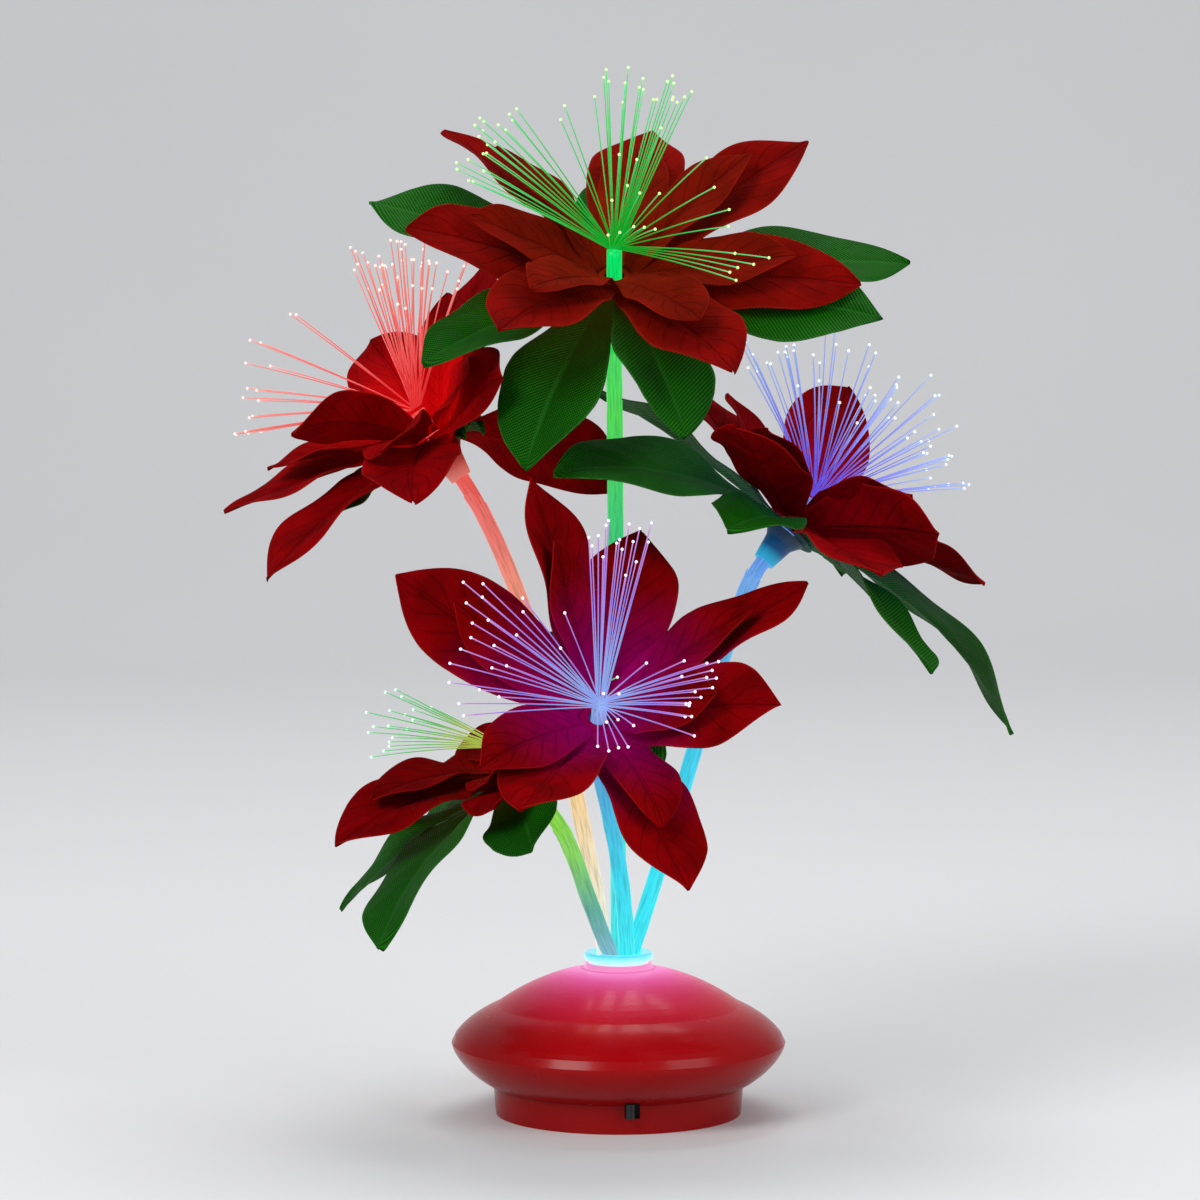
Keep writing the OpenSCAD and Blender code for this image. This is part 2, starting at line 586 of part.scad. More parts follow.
// One die-cut layer: blades around a pierced hub, as one closed polyhedron.
module layer(f, blades, depth, hub_r, length, width) {
    n = blade_steps;
    count = len(blades);
    rim = 3 * count;
    top = [for (b = blades) for (k = [0:n], x = [-1:1]) blade_point(b, k / n, x, hub_r, length, width)];
    hole = [for (b = blades, x = [-1:1])
        let (p = blade_point(b, 0, x, hub_r, length, width)) hub_hole * unit([p.x, p.y, 0])];
    under = [for (i = [0:len(top) - 1]) top[i] - [0, 0, i % (3 * (n + 1)) < 3 ? hub_t : fabric_t]];
    low = rim + len(top);
    // Index of a blade's point, and of the q-th point around the hub
    function at(i, k, j) = rim + i * 3 * (n + 1) + 3 * k + j;
    function root(q) = at(floor(q / 3) % count, 0, q % 3);
    function wall_faces(a, b) = [[a, b, b + low], [a, b + low, a + low]];
    faces = concat(
        [for (i = [0:count - 1], k = [0:n - 1], j = [0:1])
            let (a = at(i, k, j), b = at(i, k + 1, j), c = b + 1, d = a + 1)
            each [[a, d, c], [a, c, b], [a + low, c + low, d + low], [a + low, b + low, c + low]]],
        [for (i = [0:count - 1], k = [0:n - 1])
            each concat(wall_faces(at(i, k, 0), at(i, k + 1, 0)), wall_faces(at(i, k + 1, 2), at(i, k, 2)))],
        [for (i = [0:count - 1], j = [0:1]) each wall_faces(at(i, n, j), at(i, n, j + 1))],
        [for (q = [0:rim - 1]) let (a = q, b = root(q), c = root((q + 1) % rim), d = (q + 1) % rim)
            each concat([[a, d, c], [a, c, b], [a + low, c + low, d + low], [a + low, b + low, c + low]],
                wall_faces(d, a), q % 3 == 2 ? wall_faces(b, c) : [])]);
    points = concat(hole, top, [for (p = hole) p - [0, 0, hub_t]], under);
    polyhedron([for (p = points) place(f, p - [0, 0, depth])], faces);
}

module outer_petals(f) {
    color(PETAL) layer(f, f[6], outer_depth, outer_hub_r, petal_len, petal_w);
}
module inner_petals(f) {
    // Petals that droop have no inner petal over them
    lifted = [for (b = f[6]) if (b[1] > 0) [b[0], b[1] + inner_lift, b[2], b[3], inner_roll * b[4]]];
    color(PETAL) layer(f, lifted, hub_depth, inner_hub_r, inner_len, inner_w);
}
module leaves(f) {
    color(LEAF) layer(f, f[7], leaf_depth, leaf_hub_r, leaf_len, leaf_w);
}

// Fibres: a square grid of cells pressed into the round bundle, one fibre on each cell.
bundle_r = stem_d / 2;
over_petal = 95;
mid_tilt = 8;
function grid_point(i, j) = let (u = 2 * i / fibre_rows - 1, v = 2 * j / fibre_rows - 1)
    bundle_r * [u * sqrt(1 - v * v / 2), v * sqrt(1 - u * u / 2), 0];
// Highest pitch of the inner petals near an azimuth, which the fibres stay above
function away(a, b) = abs((a - b + 540) % 360 - 180);
function near_petal(d) = cos(min(90, 90 * max(0, d - 20) / 40));
function petal_rise(f, a) = max([for (b = f[6]) (b[1] + inner_lift) * near_petal(away(a, b[0]))]);
// Tilt of a cell's fibre and the azimuth it leans to
function turn_from(a, b) = (a - b + 720) % 360;
function fibre_lean(f, c) =
    let (past = [for (s = f[8]) turn_from(atan2(c.y, c.x), s[0])], k = search(min(past), past)[0],
        s = f[8][k], next = f[8][(k + 1) % len(f[8])],
        p = s[1] + (s[2] - s[1]) * past[k] / turn_from(next[0], s[0]))
    [min(mid_tilt + (s[3] - mid_tilt) * norm(c) / bundle_r, over_petal - petal_rise(f, p)), p];
function fibre_share(i, j) = 0.93 + 0.07 * sin(137 * i + 61 * j);
function fibre_tip(f, i, j, corner) =
    let (c = grid_point(i + 0.5, j + 0.5), way = fibre_lean(f, c), thin = fibre_d * fibre_rows / stem_d)
    c + lean(thin * (corner - c) + [0, 0, fibre_len * fibre_share(i, j)], way[0], way[1]);
module fibres(f) {
    g = fibre_rows;
    across = g + 1;
    grid = [for (j = [0:g], i = [0:g]) grid_point(i, j)];
    tips = [for (j = [0:g - 1], i = [0:g - 1], k = [[0, 0], [1, 0], [1, 1], [0, 1]])
        fibre_tip(f, i, j, grid_point(i + k[0], j + k[1]))];
    edge = concat([for (i = [0:g - 1]) i], [for (j = [0:g - 1]) j * across + g],
        [for (i = [g:-1:1]) g * across + i], [for (j = [g:-1:1]) j * across]);
    rim = len(edge);
    low = len(grid) + len(tips);
    faces = concat(
        [for (j = [0:g - 1], i = [0:g - 1])
            let (o = j * across + i, c = [o, o + 1, o + 1 + across, o + across],
                t = len(grid) + 4 * (j * g + i))
            each concat([[t, t + 3, t + 2], [t, t + 2, t + 1]],
                [for (k = [0:3]) let (m = (k + 1) % 4)
                    each [[c[k], t + k, t + m], [c[k], t + m, c[m]]]])],
        [for (q = [0:rim - 1]) let (r = (q + 1) % rim)
            each [[edge[q], edge[r], low + r], [edge[q], low + r, low + q]]],
        [for (q = [1:rim - 2]) [low, low + q, low + q + 1]]);
    points = concat(grid, tips, [for (e = edge) grid[e] - [0, 0, slice_t]]);
    color(GLOW) polyhedron([for (p = points) place(f, p)], faces);
}

top_shell();
bottom_shell();
light_collar();
led_board();
leds();
board_screws();
cells();
cell_springs();
cell_plates();
battery_door();
door_screw();
shell_screws();
switch_body();
switch_knob();
red_lead();
black_lead();
switch_lead();
for (f = FLOWERS) {
    stem(f);
    calyx(f);
    leaves(f);
    outer_petals(f);
    inner_petals(f);
    fibres(f);
}
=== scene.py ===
import math
import random

import bmesh
import bpy
from mathutils import Matrix, Vector, noise


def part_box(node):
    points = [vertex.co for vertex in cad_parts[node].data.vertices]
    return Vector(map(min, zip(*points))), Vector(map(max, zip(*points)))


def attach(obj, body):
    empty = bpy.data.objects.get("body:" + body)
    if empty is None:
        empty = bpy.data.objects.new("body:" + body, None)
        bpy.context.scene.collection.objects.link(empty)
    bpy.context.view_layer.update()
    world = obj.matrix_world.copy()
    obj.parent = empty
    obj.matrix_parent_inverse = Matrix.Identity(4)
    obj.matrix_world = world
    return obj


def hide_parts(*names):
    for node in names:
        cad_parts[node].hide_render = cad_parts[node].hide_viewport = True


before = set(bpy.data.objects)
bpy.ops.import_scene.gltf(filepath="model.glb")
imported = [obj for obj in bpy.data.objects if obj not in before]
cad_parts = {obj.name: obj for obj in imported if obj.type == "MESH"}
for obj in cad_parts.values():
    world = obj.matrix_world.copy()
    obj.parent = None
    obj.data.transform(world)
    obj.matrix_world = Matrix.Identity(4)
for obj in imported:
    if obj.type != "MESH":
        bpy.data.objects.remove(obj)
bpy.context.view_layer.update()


# Bottom shell: a shallow bowl on a short foot skirt, injection moulded in red see-through styrene and
# left as glossy as the mould. It holds the battery bay, and four screws from below hold the top shell.
def colour(red, green, blue):
    """The shader's values of a colour that was read from the photograph as 0 to 255."""
    def one(c):
        c /= 255
        return c / 12.92 if c <= 0.04045 else ((c + 0.055) / 1.055) ** 2.4
    return one(red), one(green), one(blue), 1


def new_finish(name, rough=0.5, metal=0.0):
    """A material with its node tree and its main shader."""
    finish = bpy.data.materials.new(name)
    finish.use_nodes = True
    shader = finish.node_tree.nodes["Principled BSDF"]
    shader.inputs["Roughness"].default_value = rough
    shader.inputs["Metallic"].default_value = metal
    return finish, finish.node_tree, shader


def put(tree, kind, inputs=None, **settings):
    """Adds a node, with its settings and with its inputs as values or as links."""
    new = tree.nodes.new(kind)
    for key, value in settings.items():
        setattr(new, key, value)
    for key, value in (inputs or {}).items():
        if isinstance(value, bpy.types.NodeSocket):
            tree.links.new(value, new.inputs[key])
        else:
            new.inputs[key].default_value = value
    return new


def sums(tree, operation, a, b=0.0):
    """One step of arithmetic."""
    return put(tree, "ShaderNodeMath", {0: a, 1: b}, operation=operation).outputs[0]


def between(tree, value, low, high):
    """0 below low, 1 above high and a smooth rise between them."""
    step = put(tree, "ShaderNodeMapRange", {"Value": value, "From Min": low, "From Max": high},
               interpolation_type="SMOOTHSTEP")
    return step.outputs["Result"]


def blend_colours(tree, share, first, second, way="MIX"):
    """first, turning into second as share goes from 0 to 1."""
    mix = put(tree, "ShaderNodeMix", data_type="RGBA", blend_type=way)
    for socket, value in ((mix.inputs[0], share), (mix.inputs[6], first), (mix.inputs[7], second)):
        if isinstance(value, bpy.types.NodeSocket):
            tree.links.new(value, socket)
        else:
            socket.default_value = value
    return mix.outputs[2]


def ramp(tree, value, stops):
    """Colours along a value, as (place, colour) stops."""
    band = put(tree, "ShaderNodeValToRGB", {"Fac": value})
    while len(band.color_ramp.elements) < len(stops):
        band.color_ramp.elements.new(0.5)
    for element, (place, shade) in zip(band.color_ramp.elements, stops):
        element.position = place
        element.color = shade
    return band.outputs["Color"]


def grain(tree, where, scale, detail=2.0):
    """Soft noise from 0 to 1."""
    return put(tree, "ShaderNodeTexNoise", {"Vector": where, "Scale": scale, "Detail": detail}).outputs["Fac"]


def relief(tree, shader, height, strength, depth):
    """Small bumps in the surface."""
    bump = put(tree, "ShaderNodeBump", {"Height": height, "Strength": strength, "Distance": depth})
    tree.links.new(bump.outputs["Normal"], shader.inputs["Normal"])


def red_styrene(name):
    """Glossy red styrene that glows pink where the lamps inside stand close to it."""
    top, lit_reach, rough = 0.044, 0.05, 0.19
    finish, tree, shader = new_finish(name, rough)
    spot = put(tree, "ShaderNodeTexCoord").outputs["Object"]
    axes = put(tree, "ShaderNodeSeparateXYZ", {0: spot}).outputs
    reach = sums(tree, "SQRT", sums(tree, "ADD", sums(tree, "MULTIPLY", axes[0], axes[0]),
                                    sums(tree, "MULTIPLY", axes[1], axes[1])))
    # Base colour by height, lightest at the belly: painted shade on the foot below it, and a bluer painted
    # glow towards the neck
    tone = ramp(tree, sums(tree, "DIVIDE", axes[2], top), [
        (0.0, colour(140, 3, 6)), (0.2, colour(142, 3, 6)), (0.4, colour(150, 4, 8)),
        (0.55, colour(158, 5, 12)), (0.75, colour(150, 5, 14)), (1.0, colour(140, 8, 24))])
    cloud = grain(tree, spot, 38)
    tone = blend_colours(tree, between(tree, cloud, 0.35, 0.75), tone, (0.9, 0.85, 0.85, 1), "MULTIPLY")
    tree.links.new(tone, shader.inputs["Base Color"])
    lamp = ramp(tree, sums(tree, "DIVIDE", reach, lit_reach), [
        (0.19, colour(224, 150, 204)), (0.21, colour(204, 92, 166)), (0.225, colour(228, 128, 196)),
        (0.27, colour(220, 106, 180)), (0.34, colour(203, 76, 146)),
        (0.44, colour(176, 52, 104)), (0.52, colour(157, 36, 76)), (0.62, colour(138, 26, 50)),
        (0.7, colour(116, 18, 32)), (0.82, colour(72, 8, 12)), (0.95, colour(10, 0, 1))])
    tree.links.new(lamp, shader.inputs["Emission Color"])
    tree.links.new(between(tree, axes[2], 0.016, 0.03), shader.inputs["Emission Strength"])
    shader.inputs["Coat Weight"].default_value = 0.06
    shader.inputs["Coat Roughness"].default_value = 0.1
    shader.inputs["Specular IOR Level"].default_value = 0.12
    tree.links.new(sums(tree, "ADD", rough, sums(tree, "MULTIPLY", grain(tree, spot, 140), 0.12)),
                   shader.inputs["Roughness"])
    relief(tree, shader, grain(tree, spot, 420, 1), 0.05, 0.0004)
    return finish


def wear(node_name, finish):
    """Gives a solid its finish."""
    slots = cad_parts[node_name].data.materials
    slots.clear()
    slots.append(finish)


base_red = red_styrene("Red styrene")
wear("bottom_shell", base_red)


# Cells, springs and contact plates: three slim round cells side by side in the bay, each pressed by a
# cone-shaped spring of bright wire against a tab of plated steel.
def plain_steel(name, shade, rough):
    """Bright metal with fine scratches along the piece."""
    finish, tree, shader = new_finish(name, rough, 1.0)
    spot = put(tree, "ShaderNodeTexCoord").outputs["Object"]
    drawn = put(tree, "ShaderNodeMapping", {"Vector": spot, "Scale": (900, 6000, 6000)}).outputs[0]
    lines = grain(tree, drawn, 1.0, 3)
    tree.links.new(blend_colours(tree, lines, shade, (shade[0] * 0.6, shade[1] * 0.6, shade[2] * 0.6, 1)),
                   shader.inputs["Base Color"])
    tree.links.new(sums(tree, "ADD", rough, sums(tree, "MULTIPLY", lines, 0.2)), shader.inputs["Roughness"])
    relief(tree, shader, lines, 0.15, 0.0001)
    return finish


def cell_sleeve():
    """A shrunk printed sleeve without any print: dark, with a coppery end and a bright nub."""
    finish, tree, shader = new_finish("Cell sleeve", 0.3)
    spot = put(tree, "ShaderNodeTexCoord").outputs["Object"]
    along = put(tree, "ShaderNodeSeparateXYZ", {0: spot}).outputs[0]
    low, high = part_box("cells")
    ends = {"Value": along, "From Min": low.x, "From Max": high.x}
    share = put(tree, "ShaderNodeMapRange", ends).outputs[0]
    tone = ramp(tree, share, [(0.0, colour(150, 150, 150)), (0.02, colour(30, 30, 32)),
                              (0.66, colour(36, 36, 40)), (0.68, colour(170, 96, 40)),
                              (0.965, colour(176, 100, 44)), (0.975, colour(190, 190, 190))])
    fine = grain(tree, spot, 700)
    tone = blend_colours(tree, fine, tone, (0.8, 0.8, 0.8, 1), "MULTIPLY")
    tree.links.new(tone, shader.inputs["Base Color"])
    relief(tree, shader, fine, 0.05, 0.0002)
    return finish


zinc = plain_steel("Zinc plated steel", colour(190, 192, 196), 0.28)
wear("cells", cell_sleeve())
wear("cell_springs", plain_steel("Spring wire", colour(214, 214, 216), 0.2))
wear("cell_plates", plain_steel("Nickel plate", colour(205, 200, 190), 0.25))


# Battery door: a flat red moulding whose two tabs hook under the floor at the rear, with a grip of fine
# ribs. One cross-head screw in a cup holds it at the front, and four more join the shells.
wear("battery_door", red_styrene("Red styrene door"))
wear("door_screw", zinc)
wear("shell_screws", zinc)


# Slide switch: a small black body behind the skirt, and a ribbed black knob that comes out through a slot
# at the front of the foot.
def satin_plastic(name, shade, rough, lighter):
    """Moulded plastic with a faint spark-eroded grain."""
    finish, tree, shader = new_finish(name, rough)
    spot = put(tree, "ShaderNodeTexCoord").outputs["Object"]
    fine = grain(tree, spot, 2600)
    broad = grain(tree, spot, 160)
    tone = blend_colours(tree, sums(tree, "MULTIPLY", broad, 0.6), shade, lighter)
    tree.links.new(tone, shader.inputs["Base Color"])
    tree.links.new(sums(tree, "ADD", rough, sums(tree, "MULTIPLY", fine, 0.12)), shader.inputs["Roughness"])
    relief(tree, shader, fine, 0.2, 0.0001)
    return finish


wear("switch_body", satin_plastic("Grey nylon", colour(42, 42, 44), 0.5, colour(60, 60, 62)))
wear("switch_knob", satin_plastic("Black nylon", colour(14, 14, 15), 0.32, colour(34, 34, 36)))


# Lamp board, lamps and leads: a round printed board under the neck with one lamp under each stem. Two
# screws hold it to the top shell, and soft insulated leads join it to the cells and the switch.
def board_lacquer():
    """Green solder lacquer with the copper tracks showing faintly through it."""
    finish, tree, shader = new_finish("Board lacquer", 0.35)
    spot = put(tree, "ShaderNodeTexCoord").outputs["Object"]
    tracks = put(tree, "ShaderNodeTexVoronoi", {"Vector": spot, "Scale": 230.0}, feature="DISTANCE_TO_EDGE")
    line = between(tree, tracks.outputs["Distance"], 0.1, 0.16)
    tone = blend_colours(tree, line, colour(60, 120, 60), colour(14, 70, 34))
    tree.links.new(tone, shader.inputs["Base Color"])
    relief(tree, shader, line, 0.2, 0.0001)
    return finish


def lamp_dome():
    """Clear lamp domes that shine white."""
    finish, tree, shader = new_finish("Lamp dome", 0.12)
    spot = put(tree, "ShaderNodeTexCoord").outputs["Object"]
    haze = grain(tree, spot, 500)
    tone = blend_colours(tree, haze, (0.9, 0.95, 1, 1), (0.7, 0.85, 0.95, 1))
    tree.links.new(tone, shader.inputs["Base Color"])
    shader.inputs["Emission Color"].default_value = (0.8, 0.95, 1, 1)
    shader.inputs["Emission Strength"].default_value = 0.8
    return finish


wear("led_board", board_lacquer())
wear("leds", lamp_dome())
wear("board_screws", zinc)
wear("red_lead", satin_plastic("Red lead", colour(180, 20, 16), 0.4, colour(200, 44, 36)))
wear("switch_lead", satin_plastic("Red switch lead", colour(180, 20, 16), 0.4, colour(200, 44, 36)))
wear("black_lead", satin_plastic("Black lead", colour(18, 18, 18), 0.4, colour(36, 36, 36)))


# Top shell: a dome that meets a rounded rim in a soft crease, with a neck on top. The same red styrene as
# the bottom shell, and it drops into that one with a lip.
wear("top_shell", base_red)


# Lit collar: a clear sleeve with a flange, pushed into the neck. It gathers the five stems and carries the
# light of the lamps up to its rim.
def lit_collar():
    """Clear styrene, full of cyan light that is strongest low down."""
    finish, tree, shader = new_finish("Lit clear styrene", 0.18)
    spot = put(tree, "ShaderNodeTexCoord").outputs["Object"]
    height = put(tree, "ShaderNodeSeparateXYZ", {0: spot}).outputs[2]
    rim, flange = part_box("light_collar")[1].z, 0.004
    ends = {"Value": height, "From Min": rim - flange, "From Max": rim}
    share = put(tree, "ShaderNodeMapRange", ends).outputs[0]
    glow = ramp(tree, share, [(0.0, colour(206, 254, 254)), (0.5, colour(190, 253, 254)),
                              (0.75, colour(130, 242, 250)), (1.0, colour(92, 222, 242))])
    swirl = grain(tree, spot, 300)
    glow = blend_colours(tree, between(tree, swirl, 0.4, 0.8), glow, (0.8, 0.92, 1, 1), "MULTIPLY")
    tree.links.new(glow, shader.inputs["Emission Color"])
    shader.inputs["Emission Strength"].default_value = 0.9
    tree.links.new(blend_colours(tree, 0.8, glow, (0.02, 0.05, 0.06, 1)), shader.inputs["Base Color"])
    shader.inputs["Coat Weight"].default_value = 0.4
    relief(tree, shader, swirl, 0.06, 0.0003)
    return finish


wear("light_collar", lit_collar())


# Stems: each is a bundle of clear fibres in a wrap of thin film, which shows the colour of its lamp. They
# stand on a ring in the collar, part above it and bend over; the film ends ragged below the flower.
MM = 0.001
# Height of the bouquet in mm, from the table to the root of the top spray
TALL = 249
# Each flower: root of its spray in shares of the bouquet's height, tilt, the way it leans, place of its stem
# on the ring, how far the stem keeps its direction at each end in the same shares, how much of its slant it
# has at the collar, and the colours of its stem from the collar up
BOUQUET = {
    "top": ((-0.005, -0.02, 1), 28, 270, 90, (0.28, 0.18), 0,
            [(40, 236, 240), (0, 214, 160), (0, 206, 130), (60, 226, 70), (0, 240, 110)]),
    "left": ((-0.234, 0.04, 0.813), 34, 170, 162, (0.24, 0.12), 0.5,
             [(250, 244, 220), (255, 214, 150), (252, 176, 136), (244, 112, 100), (250, 80, 80)]),
    "right": ((0.226, 0.02, 0.711), 42, 22, 18, (0.24, 0.056), 1,
              [(0, 238, 252), (0, 232, 252), (40, 196, 240), (96, 170, 236), (120, 150, 250)]),
    "front": ((-0.021, -0.221, 0.502), 59, 273, 306, (0.153, 0.088), 0.3,
              [(20, 242, 252), (0, 220, 244), (50, 176, 226), (90, 150, 230), (150, 180, 240)]),
    "low": ((-0.141, -0.056, 0.436), 38, 190, 234, (0.104, 0.056), 1,
            [(130, 190, 220), (80, 170, 150), (130, 216, 80), (140, 220, 60), (120, 200, 80)]),
}


def flower_place(name):
    """Matrix from a flower's own frame to the object: in mm, fibres' root at zero, axis up."""
    root, tilt, turn = BOUQUET[name][:3]
    lean = Matrix.Rotation(math.radians(turn), 4, "Z") @ Matrix.Rotation(math.radians(tilt), 4, "Y")
    lean = lean @ Matrix.Rotation(math.radians(-turn), 4, "Z")
    return Matrix.Scale(MM, 4) @ Matrix.Translation(TALL * Vector(root)) @ lean


def link(name, mesh, finish):
    """A new piece from a mesh, with smooth shading."""
    mesh.materials.append(finish)
    mesh.polygons.foreach_set("use_smooth", [True] * len(mesh.polygons))
    piece = bpy.data.objects.new(name, mesh)
    bpy.context.scene.collection.objects.link(piece)
    return piece


def stem_route(name):
    """Points along a stem, from the lamp up to the root of the fibres, in metres."""
    ring_r, collar_top, foot, straight, slice_t = 4.1, 46.6, 33.0, 25, 1.3
    collar_steps, bend_steps, top_steps = 6, 45, 14
    spot = BOUQUET[name]
    turn, pull, slant = math.radians(spot[3]), spot[4], spot[5]
    place = flower_place(name)
    low = Vector((ring_r * math.cos(turn), ring_r * math.sin(turn), 0))
    a = (low + Vector((0, 0, collar_top))) * MM
    c = place @ Vector((0, 0, -straight - TALL * pull[1]))
    d = place @ Vector((0, 0, -straight))
    rise = (1 - slant) * Vector((0, 0, 1)) + slant * (d - a).normalized()
    b = a + TALL * pull[0] * MM * rise.normalized()
    points = [(low + Vector((0, 0, foot + (collar_top - foot) * i / collar_steps))) * MM
              for i in range(collar_steps)]
    for i in range(bend_steps + 1):
        t = i / bend_steps
        points.append((1 - t) ** 3 * a + 3 * (1 - t) ** 2 * t * b + 3 * (1 - t) * t * t * c + t ** 3 * d)
    for i in range(1, top_steps + 1):
        points.append(place @ Vector((0, 0, -straight + (straight - slice_t) * i / top_steps)))
    return points


def stem_mesh(name, seed):
    """A fluted bundle with a crumpled film round it that ends in a ragged edge."""
    chance = random.Random(seed)
    route = stem_route(name)
    sides, teeth = 36, 12
    core_r, film_r, bare_end = 2.12, 2.3, 0.0275
    mesh = bpy.data.meshes.new(name + "_stem_bundle")
    bm = bmesh.new()
    along = bm.verts.layers.float.new("along")
    film = bm.verts.layers.float.new("film")
    uv = bm.loops.layers.uv.new("UVMap")
    lengths = [0.0]
    for p, q in zip(route, route[1:]):
        lengths.append(lengths[-1] + (q - p).length)
    frames = []
    normal = Vector((1, 0, 0))
    for i, p in enumerate(route):
        way = (route[min(i + 1, len(route) - 1)] - route[max(i - 1, 0)]).normalized()
        normal = (normal - normal.dot(way) * way).normalized()
        frames.append((p, normal.copy(), way.cross(normal)))
    rag = [chance.uniform(-5, 2.2) for _ in range(teeth)]
    end = lengths[-1] - bare_end

    def sleeve(radius, is_film, stop):
        rows = []
        for i, (p, n, b) in enumerate(frames):
            row = []
            for k in range(sides):
                angle = 2 * math.pi * k / sides
                r = radius
                if is_film:
                    fold = Vector((2 * math.cos(angle), 2 * math.sin(angle), lengths[i] * 160 + seed))
                    r += 0.16 * noise.noise(fold)
                    r += 0.05 * math.sin(3 * angle + lengths[i] * 90)
                    r += 0.5 * max(0.0, 1 - abs(stop - lengths[i]) / 0.006) * chance.random()
                else:
                    r += 0.06 * math.cos(18 * angle)
                v = bm.verts.new(p + r * MM * (math.cos(angle) * n + math.sin(angle) * b))
                v[along] = lengths[i] / lengths[-1]
                v[film] = 1.0 if is_film else 0.0
                row.append(v)
            rows.append(row)
        for i in range(len(rows) - 1):
            for k in range(sides):
                m = (k + 1) % sides
                if is_film and lengths[i + 1] > stop + rag[k * teeth // sides] * MM:
                    continue
                face = bm.faces.new((rows[i][k], rows[i][m], rows[i + 1][m], rows[i + 1][k]))
                for loop, (a, t) in zip(face.loops, ((k, i), (k + 1, i), (k + 1, i + 1), (k, i + 1))):
                    loop[uv].uv = (a / sides, lengths[t])
        return rows

    core = sleeve(core_r, False, 0)
    bm.faces.new(list(reversed(core[0])))
    bm.faces.new(core[-1])
    sleeve(film_r, True, end)
    loose = [v for v in bm.verts if not v.link_faces]
    bmesh.ops.delete(bm, geom=loose, context="VERTS")
    bm.to_mesh(mesh)
    bm.free()
    return mesh


def lit_film(name, shades):
    """Milky film and clear fibres with light running up inside them."""
    finish, tree, shader = new_finish(name, 0.28)
    along = put(tree, "ShaderNodeAttribute", attribute_name="along").outputs["Fac"]
    film = put(tree, "ShaderNodeAttribute", attribute_name="film").outputs["Fac"]
    flat = put(tree, "ShaderNodeUVMap").outputs[0]
    streaks = put(tree, "ShaderNodeMapping", {"Vector": flat, "Scale": (26, 130, 1)}).outputs[0]
    lines = grain(tree, streaks, 1.0, 3)
    last = len(shades) - 1
    glow = ramp(tree, along, [(0.12 + 0.86 * i / last, colour(*c)) for i, c in enumerate(shades)])
    dark = blend_colours(tree, 1.0, glow, (0.68, 0.68, 0.68, 1), "MULTIPLY")
    glow = blend_colours(tree, between(tree, lines, 0.3, 0.6), dark, glow)
    pale = blend_colours(tree, sums(tree, "MULTIPLY", film, 0.04), glow, (1, 1, 1, 1))
    tree.links.new(pale, shader.inputs["Emission Color"])
    shader.inputs["Emission Strength"].default_value = 0.85
    faint = blend_colours(tree, 1.0, pale, (0.2, 0.2, 0.2, 1), "MULTIPLY")
    tree.links.new(faint, shader.inputs["Base Color"])
    shader.inputs["Specular IOR Level"].default_value = 0.25
    relief(tree, shader, lines, 0.35, 0.0004)
    return finish


for number, flower in enumerate(BOUQUET):
    wrap = lit_film("Lit film " + flower, BOUQUET[flower][6])
    stem = link(flower + "_stem_bundle", stem_mesh(flower, number + 3), wrap)
    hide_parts(flower + "_stem")
    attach(stem, "base")


# Calyx cups: small moulded funnels of dark see-through plastic, pushed up each stem to hold the hubs of
# the fabric layers. Light that leaks from the stem tints them.
def calyx_plastic(flower, glow, shade):
    """Satin see-through plastic, lit from the stem inside, most of all where it grips the stem."""
    finish = satin_plastic("Calyx plastic " + flower, colour(5, 28, 34), 0.4, colour(10, 44, 48))
    tree = finish.node_tree
    shader = tree.nodes["Principled BSDF"]
    place = flower_place(flower)
    axis = (place.to_3x3() @ Vector((0, 0, 1))).normalized()
    spot = put(tree, "ShaderNodeTexCoord").outputs["Object"]
    height = put(tree, "ShaderNodeVectorMath", {0: spot, 1: axis}, operation="DOT_PRODUCT").outputs["Value"]
    share = between(tree, sums(tree, "SUBTRACT", height, axis.dot(place.translation)), -0.025, -0.013)
    dim = [c * 0.3 for c in shade]
    light = ramp(tree, share, [(0.0, colour(*glow)), (0.4, colour(*shade)), (1.0, colour(*dim))])
    tree.links.new(light, shader.inputs["Emission Color"])
    shader.inputs["Emission Strength"].default_value = 0.7
    return finish


# Light of each cup at the stem and halfway up
CUP_LIGHT = {"top": ((60, 226, 90), (20, 120, 50)), "left": ((250, 130, 116), (190, 60, 50)),
             "right": ((40, 190, 240), (0, 74, 132)), "front": ((110, 170, 250), (50, 80, 190)),
             "low": ((170, 226, 90), (90, 120, 40))}
for flower, (glow, shade) in CUP_LIGHT.items():
    wear(flower + "_calyx", calyx_plastic(flower, glow, shade))


# Leaves: die-cut from a green ribbed satin, hot pressed so that a midrib and side veins stand out, on a
# small moulded hub. Their cut edges fray a little.
def half_width(s, root):
    """Half width of a petal or leaf along its length, as a share of the widest; root is that at its foot."""
    s **= 1.2
    if s < 0.5:
        return root + (1 - root) * math.sin(math.pi * s) ** 1.2
    return max(0.012, math.cos(math.pi / 2 * (2 * s - 1) ** 1.35))


def vein_height(s, x, count, slant):
    """Height of the pressed side veins, from 0 to 1."""
    t = (s * count - abs(x) * slant) % 1.0
    ridge = max(0.0, 1 - abs(t - 0.5) / 0.16)
    return ridge * min(1.0, abs(x) * 5) * max(0.0, 1 - abs(x) ** 3) * min(1.0, 4 * s * (1 - s) + 0.2)


